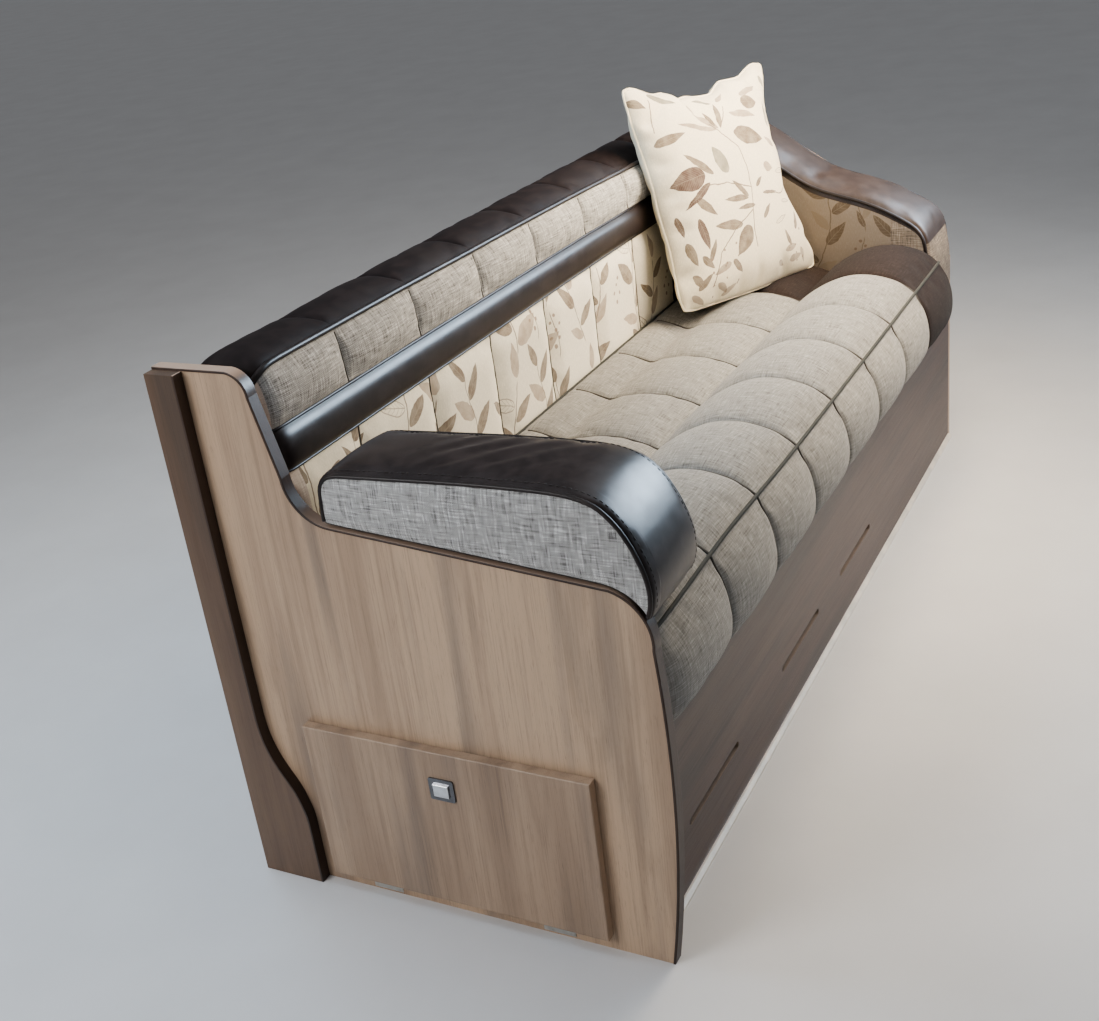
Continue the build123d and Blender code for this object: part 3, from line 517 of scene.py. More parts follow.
# leaves of the big print on the scatter cushion: centre x, centre y, turn, length, half width, colour, in the cushion's own mm
BIG_PRINT = (
    (-209, 194, -32, 40, 11, "b"), (-170, 113, 10, 80, 12, "b"), (-65, 141, 135, 75, 10, "t"), (-95, 127, 164, 103, 8, "t"),
    (-53, 143, 108, 47, 7, "b"), (-22, 152, 76, 77, 9, "b"), (94, 155, -11, 56, 22, "b"), (47, 83, -19, 97, 24, "b"),
    (55, 135, -21, 89, 11, "t"), (-64, 50, 112, 65, 19, "g"), (-125, 51, 140, 84, 10, "b"), (-161, 24, -175, 89, 27, "d"),
    (-148, -11, -152, 87, 9, "d"), (-133, -35, -43, 63, 12, "b"), (-29, -17, 133, 54, 8, "b"), (-48, -35, 173, 73, 8, "b"),
    (-23, -56, 180, 55, 6, "b"), (-85, -81, 172, 81, 12, "b"), (-47, -120, -137, 72, 22, "b"), (-155, -86, -78, 66, 13, "d"),
    (82, 9, -18, 35, 12, "t"), (146, -4, -1, 76, 7, "o"), (64, -40, -5, 54, 5, "b"), (180, 81, -88, 88, 12, "g"),
    (109, -162, 7, 44, 9, "t"), (126, -185, 7, 46, 9, "t"), (154, -185, -68, 38, 8, "t"), (76, -192, -28, 32, 7, "t"),
    (192, 189, -63, 32, 9, "g"), (-145, 203, -23, 63, 11, "g"), (-157, -140, -45, 39, 9, "b"), (-121, -160, -163, 52, 9, "t"),
    (-184, -172, -52, 39, 10, "b"), (-120, -197, -37, 39, 8, "t"), (-186, -208, -34, 40, 9, "t"), (115, 185, 10, 83, 9, "t"),
    (-87, 178, -76, 28, 8, "t"), (34, -14, 32, 31, 6, "b"), (86, -100, 14, 49, 6, "o"), (125, -67, -4, 42, 5, "o"),
    (-192, -118, -70, 52, 11, "b"), (-168, -175, 35, 46, 9, "b"), (-100, -205, 20, 44, 8, "t"), (-140, -120, 60, 50, 8, "b"),
    (-75, -165, -50, 44, 9, "b"), (-205, -60, -80, 46, 8, "d"), (150, 120, 80, 60, 10, "g"), (120, 60, 150, 44, 8, "t"),
    (190, -20, 100, 56, 9, "t"), (40, -75, 40, 40, 7, "b"), (150, -110, 60, 46, 8, "b"), (100, -140, 120, 40, 7, "b"),
    (20, 205, 30, 44, 8, "t"), (-40, 200, 160, 50, 9, "g"),
)
BIG_STEMS = (
    ((-59, 129), (-32, 98), (0, 66), (8, 22), (5, -20), (-5, -65), (-13, -101), (-11, -138)),
    ((-178, 203), (-188, 169), (-199, 130)), ((6, 172), (-9, 142), (-31, 116)),
    ((5, -20), (-60, 0), (-128, 6)), ((-5, -65), (-70, -92), (-120, -130), (-150, -190)), ((60, -40), (110, -50), (160, -30)),
)
BIG_SPECKS = tuple((-150 + 37 * k % 110, -112 - 43 * k % 104, 2.0 + 0.5 * (k % 4)) for k in range(15)) + tuple(
    (96 + 29 * k % 84, -128 - 31 * k % 76, 1.8 + 0.5 * (k % 3)) for k in range(8))
M["print_big"] = print_material("leaf_print_big", (0.78, 0.715, 0.565), 0.78, BIG_PRINT, BIG_STEMS, BIG_SPECKS)
# painted shade: a darker copy of the leaf print for the bolster's near face, which lies in shadow
M["print_shade"] = print_material("leaf_print_dark", (0.208, 0.176, 0.146), 0.43)
M["leather"] = leather_material("brown_leather", (0.0225, 0.0158, 0.0148), (0.035, 0.0250, 0.0232), 0.38, worn=(0.050, 0.036, 0.033), spec=0.42)
M["leather_top"] = leather_material("brown_leather_top", (0.014, 0.0090, 0.0082), (0.023, 0.0150, 0.0135), 0.62, worn=(0.032, 0.024, 0.021), spec=0.22)
M["taupe"] = leather_material("taupe_leather", (0.046, 0.031, 0.026), (0.066, 0.046, 0.039), 0.48, worn=(0.092, 0.066, 0.056), spec=0.36)
M["piping"] = leather_material("piping_leather", (0.018, 0.013, 0.012), (0.030, 0.022, 0.020), 0.42, scale=2.0)
M["cord"] = cloth_material("seat_piping_cloth", (0.058, 0.058, 0.052), (0.085, 0.084, 0.075), (0.03, 0.030, 0.027), slub=0.5, pitch=1.6, sheen=0.04)
M["seam"] = cloth_material("seam_welt", (0.082, 0.076, 0.069), (0.115, 0.107, 0.098), (0.045, 0.041, 0.037), slub=0.5, pitch=1.6, sheen=0.04)
M["thread"] = plastic_material("stitch_thread", (0.030, 0.024, 0.021), 0.7, 0.3)
M["lining"] = lining_material()
OAK = ((0.545, 0.392, 0.272), (0.405, 0.287, 0.200), (0.205, 0.146, 0.106))
M["oak_z"] = wood_material("oak_upright_grain", 2, *OAK)[0]
# painted shade: the flap is the end panel's oak, painted darker as the lower part of the panel falls in shade
M["oak_flap"] = wood_material("oak_flap_grain", 2, (0.42, 0.302, 0.214), (0.305, 0.216, 0.153), (0.155, 0.108, 0.079), seed=3.0)[0]
# painted shade: the door upright is the same oak, painted dark brown as if it stood in shadow
M["oak_post"] = wood_material("oak_post_grain", 2, (0.175, 0.113, 0.075), (0.122, 0.078, 0.053), (0.066, 0.042, 0.030), seed=9.0)[0]
# painted shade: the front panel is the same oak laminate, painted much darker as if in shadow under the seat's overhang
M["oak_x"], _N, _c = wood_material("oak_long_grain", 0, (0.078, 0.043, 0.032), (0.050, 0.0275, 0.0205), (0.024, 0.0135, 0.0108), seed=1.0)
# the vent slots' sills show the board's pale core
_x, _y, _z = _N.split(obj_mm(_N))
_tc = _N.new("ShaderNodeTexCoord")
_nx, _ny, _nz = _N.split(_tc.outputs["Normal"])
_in = _N.math("MULTIPLY", _N.math("MULTIPLY", _N.step(_z, 94.0, 95.0), _N.step(_z, 117.0, 118.0, 1.0, 0.0)), _N.step(_N.math("ABSOLUTE", _ny), 0.5, 0.4))
_c = _N.mix(_in, _c, (0.22, 0.172, 0.138))
_p = [n for n in _N.t.nodes if n.type == "BSDF_PRINCIPLED"][0]
_N.t.links.new(_c, _p.inputs["Base Color"])
M["edge"], _N, _c = wood_material("brown_edging", 2, (0.062, 0.036, 0.025), (0.045, 0.026, 0.019), (0.025, 0.015, 0.011), rough=0.42, seed=5.0)
# painted light and shade: upward faces are painted pale as if lit from above, and the rest keep a dark brown that is
# partly the edging's own colour and partly painted shade
_tc = _N.new("ShaderNodeTexCoord")
_nx, _ny, _nz = _N.split(_tc.outputs["Normal"])
_c = _N.mix(_N.math("MULTIPLY", _N.step(_nz, 0.60, 0.97), 0.85), _c, (0.44, 0.315, 0.24))
_p = [n for n in _N.t.nodes if n.type == "BSDF_PRINCIPLED"][0]
_N.t.links.new(_c, _p.inputs["Base Color"])
M["bead"] = plastic_material("pale_floor_bead", (0.62, 0.59, 0.53), 0.4)
M["ply_x"] = ply_material("birch_plywood_long", 0)
M["ply_y"] = ply_material("birch_plywood_cross", 1)
M["pine_x"] = wood_material("pine_long", 0, (0.72, 0.55, 0.34), (0.62, 0.44, 0.25), (0.42, 0.26, 0.13), rough=0.6, figure=0.6, seed=2.0)[0]
M["pine_y"] = wood_material("pine_cross", 1, (0.72, 0.55, 0.34), (0.62, 0.44, 0.25), (0.42, 0.26, 0.13), rough=0.6, figure=0.6, seed=4.0)[0]
M["pine_z"] = wood_material("pine_upright", 2, (0.72, 0.55, 0.34), (0.62, 0.44, 0.25), (0.42, 0.26, 0.13), rough=0.6, figure=0.6, seed=6.0)[0]
M["beech"] = wood_material("beech_slats", 1, (0.66, 0.47, 0.30), (0.56, 0.38, 0.23), (0.40, 0.25, 0.14), rough=0.4, figure=0.5, seed=7.0)[0]
M["steel"] = metal_material("zinc_steel", (0.62, 0.62, 0.60), 0.32)
M["chrome"] = metal_material("polished_chrome", (0.72, 0.73, 0.75), 0.16)
M["chrome_dark"] = metal_material("dark_chrome", (0.20, 0.20, 0.21), 0.22)
M["black"] = plastic_material("black_plastic", (0.018, 0.018, 0.019), 0.45)
M["floor"], _N = material("floor_plain")
_p = obj_mm(_N)
_c = _N.mix(_N.noise(_p, 0.004, 4.0, 0.6), (0.60, 0.585, 0.58), (0.70, 0.69, 0.685))
surface(_N, _c, 0.75, _N.bump(_N.noise(_p, 0.5, 3.0), 0.05, 0.0005))

NODE_MATERIAL = {
    "end_panel": "oak_z", "end_panel_edging": "edge", "door_upright": "oak_post", "door_upright_edging": "edge", "front_panel": "oak_x", "floor_bead": "bead",
    "far_end_panel": "oak_z", "locker_dividers": "ply_y", "front_rail": "pine_x", "ledge_rail": "pine_x",
    "wall_rail": "pine_x", "cross_cleats": "pine_y", "floor_batten_front": "pine_x", "floor_battens_ends": "pine_y",
    "back_ledge": "ply_x", "corner_deck": "ply_y", "back_uprights": "pine_z", "back_slats": "ply_x",
    "flap": "oak_flap", "flap_hinges_fixed": "steel", "flap_hinges_moving": "steel", "latch_plate": "chrome_dark",
    "latch_button": "chrome", "latch_body": "black", "latch_keeper": "black", "seat_frame": "ply_x",
    "seat_slats": "beech", "slat_caps": "black", "seat_hinges_fixed": "steel", "seat_hinges_moving": "steel",
}
for name, key in NODE_MATERIAL.items():
    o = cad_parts[name]
    if not o.material_slots:
        o.data.materials.append(M[key])
    for s in o.material_slots:
        s.material = M[key]


# ------------------------------------------------------------------ mesh helpers
def resample(points, n, smooth=True):
    """n + 1 points evenly spaced by length on a smooth curve through the given points."""
    P = np.array(points, float)
    if len(P) == 2 or not smooth:
        dense = [P[0]]
        for a, b in zip(P[:-1], P[1:]):
            for k in range(1, 33):
                dense.append(a + (b - a) * k / 32)
        D = np.array(dense)
    else:
        Q = np.vstack([2 * P[0] - P[1], P, 2 * P[-1] - P[-2]])
        dense = [P[0]]
        for i in range(1, len(Q) - 2):
            p0, p1, p2, p3 = Q[i - 1], Q[i], Q[i + 1], Q[i + 2]
            for k in range(1, 25):
                t = k / 24
                dense.append(0.5 * ((2 * p1) + (-p0 + p2) * t + (2 * p0 - 5 * p1 + 4 * p2 - p3) * t * t
                                    + (-p0 + 3 * p1 - 3 * p2 + p3) * t ** 3))
        D = np.array(dense)
    L = np.concatenate([[0], np.cumsum(np.linalg.norm(np.diff(D, axis=0), axis=1))])
    s = np.linspace(0, L[-1], n + 1)
    return np.stack([np.interp(s, L, D[:, k]) for k in range(D.shape[1])], axis=1)


def loop_of(sides):
    """Closed loop from four sides, each a list of (points, count, zone). Returns points, zones and side counts."""
    pts, zones, counts, cuts = [], [], [], []
    for side in sides:
        n = 0
        for piece in side:
            r = resample(piece[0], piece[1])
            cuts.append(len(pts))
            pts.extend(r[:-1].tolist())
            zones.extend([piece[2]] * piece[1])
            n += piece[1]
        counts.append(n)
    return np.array(pts), zones, counts, cuts


def loop_normals(P):
    d = np.roll(P, -1, axis=0) - np.roll(P, 1, axis=0)
    n = np.stack([-d[:, 1], d[:, 0]], axis=1)
    return n / np.linalg.norm(n, axis=1)[:, None]


def coons(bottom, front, top, rear):
    """Grid inside four edges; bottom and top run rear to front, rear and front run upwards."""
    a, b = len(bottom) - 1, len(front) - 1
    s = np.linspace(0, 1, a + 1)[:, None, None]
    t = np.linspace(0, 1, b + 1)[None, :, None]
    B, T = bottom[:, None, :], top[:, None, :]
    R, F = rear[None, :, :], front[None, :, :]
    return ((1 - t) * B + t * T + (1 - s) * R + s * F
            - ((1 - s) * (1 - t) * bottom[0] + s * (1 - t) * bottom[-1] + (1 - s) * t * top[0] + s * t * top[-1]))


def smooth_object(o):
    for p in o.data.polygons:
        p.use_smooth = True


def link(o):
    bpy.context.scene.collection.objects.link(o)
    return o


class Pad:
    """A padded piece: one closed skin made of stations along u, each a loop in v and z, with gridded ends."""

    def __init__(self, name, stations, loops, counts, zones, mats, cap_mats, cap_bulge=(4.0, 4.0), cap_row_zone=None,
                 uv_shift=None, cap_power=0.45):
        # stations: list of u values, or arrays of u per loop point; loops: array (stations, n, 2)
        self.name, self.counts, self.zones = name, counts, zones
        self.ns, self.nl = len(stations), loops.shape[1]
        nA, nB = counts[0], counts[1]
        assert counts[2] == nA and counts[3] == nB, (name, counts)
        U = np.zeros((self.ns, self.nl))
        for i, u in enumerate(stations):
            U[i] = u
        self.U = U
        V = np.concatenate([U[..., None], loops], axis=2).reshape(-1, 3)
        verts = [tuple(p) for p in V]
        faces, fmat, fuv = [], [], []
        seg = np.linalg.norm(np.roll(loops[self.ns // 2], -1, axis=0) - loops[self.ns // 2], axis=1)
        # lengthwise measure starts at the bottom of the front side
        arc = np.concatenate([[0], np.cumsum(seg)]) - seg[:nA].sum()
        ulen = U.mean(axis=1)
        for i in range(self.ns - 1):
            sh = uv_shift(0.5 * (ulen[i] + ulen[i + 1])) if uv_shift else (0.0, 0.0)
            for j in range(self.nl):
                k = (j + 1) % self.nl
                faces.append((i * self.nl + j, (i + 1) * self.nl + j, (i + 1) * self.nl + k, i * self.nl + k))
                fmat.append(mats(zones[j], 0.5 * (ulen[i] + ulen[i + 1])))
                fuv.append([(ulen[i] + sh[0], arc[j] + sh[1]), (ulen[i + 1] + sh[0], arc[j] + sh[1]),
                            (ulen[i + 1] + sh[0], arc[j + 1] + sh[1]), (ulen[i] + sh[0], arc[j + 1] + sh[1])])
        self.cap_ids = []
        for end, (i, sign) in enumerate(((0, -1), (self.ns - 1, 1))):
            base = i * self.nl
            idb = [base + j for j in range(nA + 1)]
            idf = [base + nA + j for j in range(nB + 1)]
            idt = [base + (nA + nB + j) for j in range(nA + 1)][::-1]
            idr = [base + ((2 * nA + nB + j) % self.nl) for j in range(nB + 1)][::-1]
            P = V
            G = coons(P[idb], P[idf], P[idt], P[idr])
            ids = -np.ones((nA + 1, nB + 1), int)
            ids[:, 0], ids[nA, :], ids[:, nB], ids[0, :] = idb, idf, idt, idr
            inner = []
            for a in range(1, nA):
                for b in range(1, nB):
                    s, t = a / nA, b / nB
                    q = G[a, b].copy()
                    q[0] += sign * cap_bulge[end] * ((4 * s * (1 - s)) ** cap_power) * ((4 * t * (1 - t)) ** cap_power)
                    ids[a, b] = len(verts)
                    inner.append(len(verts))
                    verts.append(tuple(q))
            self.cap_ids.append(inner)
            for a in range(nA):
                for b in range(nB):
                    f = [ids[a, b], ids[a + 1, b], ids[a + 1, b + 1], ids[a, b + 1]]
                    if sign > 0:
                        f = f[::-1]
                    faces.append(tuple(int(x) for x in f))
                    if cap_row_zone:
                        q = [verts[x] for x in f]
                        fmat.append(cap_row_zone(end, zones[nA + b], sum(p[1] for p in q) / 4, sum(p[2] for p in q) / 4, b))
                    else:
                        fmat.append(cap_mats[end])
                    fuv.append([(verts[x][1], verts[x][2]) for x in f])
        self.verts = np.array(verts)
        me = bpy.data.meshes.new(name)
        me.from_pydata([tuple(W(*p)) for p in self.verts], [], faces)
        used = []
        for k in fmat:
            if k not in used:
                used.append(k)
        for k in used:
            me.materials.append(M[k])
        me.polygons.foreach_set("material_index", [used.index(k) for k in fmat])
        uv = me.uv_layers.new(name="UVMap")
        flat = []
        for q in fuv:
            for a, b in q:
                flat.extend((a / 1000.0, b / 1000.0))
        uv.data.foreach_set("uv", flat)
        me.update()
        self.ob = link(bpy.data.objects.new(name, me))
        self.pin = np.zeros(len(self.verts))
        self.cap = 8.0
        self.lo, self.hi = None, None

    def vid(self, i, j):
        return i * self.nl + (j % self.nl)

    def crease(self, rows=(), cols=(), weight=0.8, jrange=None):
        """rows: loop point indices creased along u; cols: station indices creased round the loop over jrange."""
        want = {}
        for j in rows:
            for i in range(self.ns - 1):
                want[frozenset((self.vid(i, j), self.vid(i + 1, j)))] = weight
        for i in cols:
            rng = jrange if jrange is not None else range(self.nl)
            for j in rng:
                want[frozenset((self.vid(i, j), self.vid(i, j + 1)))] = weight
        me = self.ob.data
        at = me.attributes.get("crease_edge") or me.attributes.new("crease_edge", "FLOAT", "EDGE")
        vals = np.zeros(len(me.edges), dtype=np.float32)
        at.data.foreach_get("value", vals)
        for e in me.edges:
            w = want.get(frozenset(e.vertices[:]))
            if w is not None:
                vals[e.index] = w
        at.data.foreach_set("value", vals)

    def coords(self):
        a = np.zeros(len(self.ob.data.vertices) * 3)
        self.ob.data.vertices.foreach_get("co", a)
        return a.reshape(-1, 3)

    def row(self, j, i0=0, i1=None):
        c = self.coords()
        return [Vector(c[self.vid(i, j)]) for i in range(i0, self.ns if i1 is None else i1)]

    def col(self, i, j0, j1):
        c = self.coords()
        return [Vector(c[self.vid(i, j)]) for j in range(j0, j1 + 1)]


PADS = []


def stations_between(u0, u1, seams, cells=19, near=(0.0, 3.0, 8.0, 15.0, 24.0, 35.0)):
    """Station positions, and for each its phase in its channel, its channel number and whether it is a seam."""
    bounds_ = [u0] + list(seams) + [u1]
    us, ph, ch, sm = [], [], [], []
    for c, (a, b) in enumerate(zip(bounds_[:-1], bounds_[1:])):
        L = b - a
        inner = [d for d in near if d < L / 2 - 6]
        start = inner[-1]
        n = max(2, int(round((L - 2 * start) / (L / cells * 1.25))))
        xs = inner + [start + (L - 2 * start) * k / n for k in range(1, n)] + [L - d for d in inner[::-1]]
        if c < len(bounds_) - 2:
            xs = xs[:-1]
        for x in xs:
            us.append(a + x)
            ph.append(x / L)
            ch.append(c)
            sm.append(abs(x) < 1e-6 and c > 0)
    return np.array(us), np.array(ph), np.array(ch), np.array(sm)


def end_inset(us, u0, u1, R):
    d = np.minimum(us - u0, u1 - us)
    d = np.clip(d, 0, R)
    return R - np.sqrt(np.maximum(R * R - (R - d) ** 2, 0))


def puff_of(ph, power=3.0):
    return 1 - np.abs(2 * ph - 1) ** power


def run_cloth(pads, frames=20, pressure=4.0):
    """Inflates the pads a little between their pinned seams, then keeps the result in the mesh."""
    scene = bpy.context.scene
    mods = []
    for pad in pads:
        vg = pad.ob.vertex_groups.new(name="held")
        for w in np.unique(np.round(pad.pin, 2)):
            ids = np.nonzero(np.round(pad.pin, 2) == w)[0].tolist()
            if w > 0:
                vg.add(ids, float(w), "REPLACE")
        md = pad.ob.modifiers.new("Cloth", "CLOTH")
        s = md.settings
        s.quality = 5
        s.mass = 0.25
        s.tension_stiffness = 18
        s.compression_stiffness = 12
        s.shear_stiffness = 8
        s.bending_stiffness = 0.6
        s.use_pressure = True
        s.uniform_pressure_force = getattr(pad, "pressure", pressure)
        s.shrink_min = getattr(pad, "shrink", -0.012)
        s.effector_weights.gravity = 0.0
        s.vertex_group_mass = "held"
        s.pin_stiffness = 2.0
        md.collision_settings.use_collision = False
        md.collision_settings.use_self_collision = False
        md.point_cache.frame_start = 1
        md.point_cache.frame_end = frames
        mods.append(md)
    scene.frame_start, scene.frame_end = 1, frames
    for f in range(1, frames + 1):
        scene.frame_set(f)
    dg = bpy.context.evaluated_depsgraph_get()
    for pad, md in zip(pads, mods):
        ev = pad.ob.evaluated_get(dg)
        n = len(pad.ob.data.vertices)
        a = np.zeros(n * 3)
        ev.data.vertices.foreach_get("co", a)
        new = a.reshape(-1, 3)
        old = pad.coords()
        d = new - old
        L = np.linalg.norm(d, axis=1)
        cap = pad.cap / 1000.0
        k = np.where(L > 1e-9, cap * np.tanh(L / cap) / np.maximum(L, 1e-9), 0)
        out = old + d * k[:, None]
        if pad.lo is not None:
            lo, hi = np.array(W(*pad.lo)), np.array(W(*pad.hi))
            out = np.minimum(np.maximum(out, lo), hi)
        pad.ob.modifiers.remove(md)
        pad.ob.data.vertices.foreach_set("co", out.reshape(-1))
        pad.ob.data.update()
        pad.ob.vertex_groups.clear()
    scene.frame_set(1)


def subdivide(ob, levels=1):
    md = ob.modifiers.new("Subdivision", "SUBSURF")
    md.levels = levels
    md.render_levels = levels
    dg = bpy.context.evaluated_depsgraph_get()
    me = bpy.data.meshes.new_from_object(ob.evaluated_get(dg), preserve_all_data_layers=True, depsgraph=dg)
    ob.modifiers.remove(md)
    old = ob.data
    ob.data = me
    me.name = ob.name
    bpy.data.meshes.remove(old)
    smooth_object(ob)


def tube(name, path, r, mat, sides=8, closed=False):
    """Round cord-like trim along a list of points, as one closed mesh."""
    P = [Vector(p) for p in path]
    n = len(P)
    verts, faces = [], []
    tang = []
    for i in range(n):
        a = P[(i - 1) % n] if (closed or i > 0) else P[i]
        b = P[(i + 1) % n] if (closed or i < n - 1) else P[i]
        tang.append((b - a).normalized())
    up = Vector((0, 0, 1))
    if abs(tang[0].dot(up)) > 0.9:
        up = Vector((1, 0, 0))
    nrm = (up - tang[0] * up.dot(tang[0])).normalized()
    for i in range(n):
        nrm = (nrm - tang[i] * nrm.dot(tang[i])).normalized()
        bi = tang[i].cross(nrm)
        rr = r
        for k in range(sides):
            a = 2 * math.pi * k / sides
            verts.append(P[i] + (nrm * math.cos(a) + bi * math.sin(a)) * rr)
    for i in range(n - 1 if not closed else n):
        i2 = (i + 1) % n
        for k in range(sides):
            k2 = (k + 1) % sides
            faces.append((i * sides + k, i * sides + k2, i2 * sides + k2, i2 * sides + k))
    if not closed:
        faces.append(tuple(range(sides))[::-1])
        faces.append(tuple((n - 1) * sides + k for k in range(sides)))
    me = bpy.data.meshes.new(name)
    me.from_pydata([tuple(v) for v in verts], [], faces)
    me.materials.append(M[mat])
    me.update()
    o = link(bpy.data.objects.new(name, me))
    smooth_object(o)
    return o


def densify(path, step):
    D = np.array([tuple(p) for p in path])
    L = np.concatenate([[0], np.cumsum(np.linalg.norm(np.diff(D, axis=0), axis=1))])
    n = max(2, int(round(L[-1] / step)))
    s = np.linspace(0, L[-1], n + 1)
    return np.stack([np.interp(s, L, D[:, k]) for k in range(3)], axis=1)


def stitches(name, paths, mat, pitch=0.0075, length=0.0050, r=0.00075):
    """Rows of short thread capsules along several paths, as one mesh."""
    verts, faces = [], []
    for path in paths:
        Q = densify(path, pitch)
        for a, b in zip(Q[:-1], Q[1:]):
            a, b = Vector(a), Vector(b)
            d = (b - a)
            if d.length < 1e-6:
                continue
            d.normalize()
            m = (a + b) / 2
            up = Vector((0, 0, 1)) if abs(d.z) < 0.9 else Vector((1, 0, 0))
            s = d.cross(up).normalized()
            t = s.cross(d)
            base = len(verts)
            for x, rr in ((-0.5, 0.35), (-0.32, 1.0), (0.32, 1.0), (0.5, 0.35)):
                for k in range(6):
                    an = 2 * math.pi * k / 6
                    verts.append(m + d * (x * length) + (s * math.cos(an) + t * math.sin(an)) * r * rr)
            for q in range(3):
                for k in range(6):
                    k2 = (k + 1) % 6
                    faces.append((base + q * 6 + k, base + (q + 1) * 6 + k, base + (q + 1) * 6 + k2, base + q * 6 + k2))
            faces.append(tuple(base + k for k in range(6)))
            faces.append(tuple(base + 18 + k for k in range(6))[::-1])
    me = bpy.data.meshes.new(name)
    me.from_pydata([tuple(v) for v in verts], [], faces)
    me.materials.append(M[mat])
    me.update()
    o = link(bpy.data.objects.new(name, me))
    smooth_object(o)
    return o


# ------------------------------------------------------------------ seat cushion
SEAT_SEAMS = [262.0 + 195.0 * k for k in range(7)]
SU0, SU1 = 23.0, 1649.0
ZB = 349.0       # underside of the cushions on the base
seat_sides = [
    [([(507, ZB), (8, ZB)], 44, "under")],
    [([(8, ZB), (-3, 357), (-10, 371), (-13, 390), (-13, 412), (-9, 436), (-2, 458), (8, 476), (14, 487)], 18, "front")],
    [([(14, 487), (30, 500), (52, 511), (80, 518), (108, 521), (140, 519), (168, 511), (196, 498), (220, 483), (240, 468), (252, 462),
       (264, 466), (285, 471), (320, 476), (355, 476), (395, 471), (420, 465), (430, 463), (442, 466), (465, 471), (490, 476), (507, 476)], 62, "top")],
    [([(507, 476), (507, ZB)], 18, "rear")],
]
seat_sides[0] = [([(507, ZB), (8, ZB)], 62, "under")]
P, zones, counts, cuts = loop_of(seat_sides)
nrm = loop_normals(P)
us, ph, ch, sm = stations_between(SU0, SU1, SEAT_SEAMS)
nl = len(P)
amp = np.zeros(nl)
groove = np.zeros(nl)
shift = np.zeros(nl)
bow = np.zeros(nl)


def lobe(v, a, b):
    return math.sin(math.pi * min(max((v - a) / (b - a), 0), 1))


for j in range(nl):
    v, z = P[j]
    if zones[j] == "top":
        amp[j] = 12.5 * lobe(v, 14, 252) ** 0.6 + 8.0 * lobe(v, 252, 430) ** 0.6 + 6.0 * lobe(v, 430, 520) ** 0.6
        groove[j] = 3.0 * min(1.0, (v - 13) / 20.0)
        shift[j] = 5 * lobe(v, 14, 252) + 6 * lobe(v, 252, 430) + 4 * lobe(v, 430, 540)
    if zones[j] == "front":
        t = (z - ZB) / (487.0 - ZB)
        amp[j] = 9.0 * max(0.0, math.sin(math.pi * min(max(t, 0), 1))) ** 0.6
        groove[j] = 3.0 * min(1.0, max(0.0, math.sin(math.pi * t)) * 3)
ins = end_inset(us, SU0, SU1, 9.0)
pf = puff_of(ph, 2.2)
loops = np.zeros((len(us), nl, 2))
stat = []
for i, u in enumerate(us):
    near_seam = min(abs(u - s) for s in SEAT_SEAMS)
    g = groove * (math.exp(-(near_seam / 5.5) ** 2))
    Q = P + nrm * (amp * pf[i] - g - ins[i])[:, None]
    # the aisle edge rides up a little beside the arm pad, and the near end turns away behind the end panel
    near = math.exp(-((u - 330.0) / 190.0) ** 2)
    turn = max(0.0, 1.0 - (u - SU0) / 60.0) ** 2
    under_arm = 1.0 - min(1.0, max(0.0, (u - 158.0) / 30.0))
    for j in range(nl):
        v, z = P[j]
        up = min(max((z - 420.0) / 60.0, 0.0), 1.0) * math.exp(-(max(v, 0.0) / 150.0) ** 2)
        Q[j, 1] += 8.0 * near * up
        if v < 60:
            Q[j, 0] += 16.0 * turn * (1 - max(v, 0.0) / 60.0)
        top_max = 503.0 + (1 - under_arm) * 60.0
        if Q[j, 1] > top_max - 8.0:
            Q[j, 1] = top_max - 8.0 * math.exp(-(Q[j, 1] - (top_max - 8.0)) / 8.0)
    loops[i] = Q
    stat.append(u + shift * min(1.0, min(u - SU0, SU1 - u) / 60.0))
# beyond u 1432 the top and front, and the far end cap, take the seat_end cloth, painted darker as shade
seat = Pad("seat_cushion_upholstery", stat, loops, counts, zones,
           lambda z, u: "lining" if z in ("under", "rear") else ("seat_end" if u > 1432 else "seat"),
           ("seat", "seat_end"), cap_bulge=(2.5, 2.5), uv_shift=lambda u: (0, 0))
jf, jt, je = counts[0], counts[0] + counts[1], 2 * counts[0] + counts[1]   # front bottom, front piping, rear top
for i in range(seat.ns):
    for j in range(nl):
        w = 0.0
        if zones[j] in ("under", "rear") or j in (jf, jt, je):
            w = 1.0
        if zones[j] == "top" and min(abs(P[j][0] - 252), abs(P[j][0] - 430)) < 6:
            w = 0.7
        if sm[i] or i in (0, seat.ns - 1) or (us[i] < 175 and P[j][1] > 480):
            w = 1.0
        seat.pin[seat.vid(i, j)] = w
for ids in seat.cap_ids:
    seat.pin[ids] = 0.8
seat.cap = 6.0
seat.lo, seat.hi = (20.5, -26, 348.3), (1655, 509, 545)
seat.crease(rows=(jf, jt, je), cols=[i for i in range(seat.ns) if sm[i]], weight=0.5, jrange=range(jf, je))
PADS.append(seat)
seat_seam_cols = [i for i in range(seat.ns) if sm[i]]

# ------------------------------------------------------------------ back cushion and corner cushion
BACK_SEAMS = [210.0, 410.0, 608.0, 806.0, 1004.0, 1202.0]
back_sides = [
    [([(650, ZB), (538, ZB)], 12, "under")],
    [([(538, ZB), (526, 362), (522, 380), (520, 420), (519, 450)], 8, "low"),
     ([(519, 450), (518.5, 520), (518.5, 600), (521.5, 671)], 18, "print"),
     ([(521.5, 671), (516, 674), (512.2, 683), (510.8, 698), (511.2, 713), (514.5, 726), (523, 735)], 10, "band"),
     ([(523, 735), (523.5, 762), (527, 795), (534, 819)], 12, "tweed")],
    [([(534, 819), (542, 826), (560, 829.5), (595, 829.5), (630, 822), (650, 808)], 12, "top")],
    [([(650, 808), (650, ZB)], 48, "rear")],
]


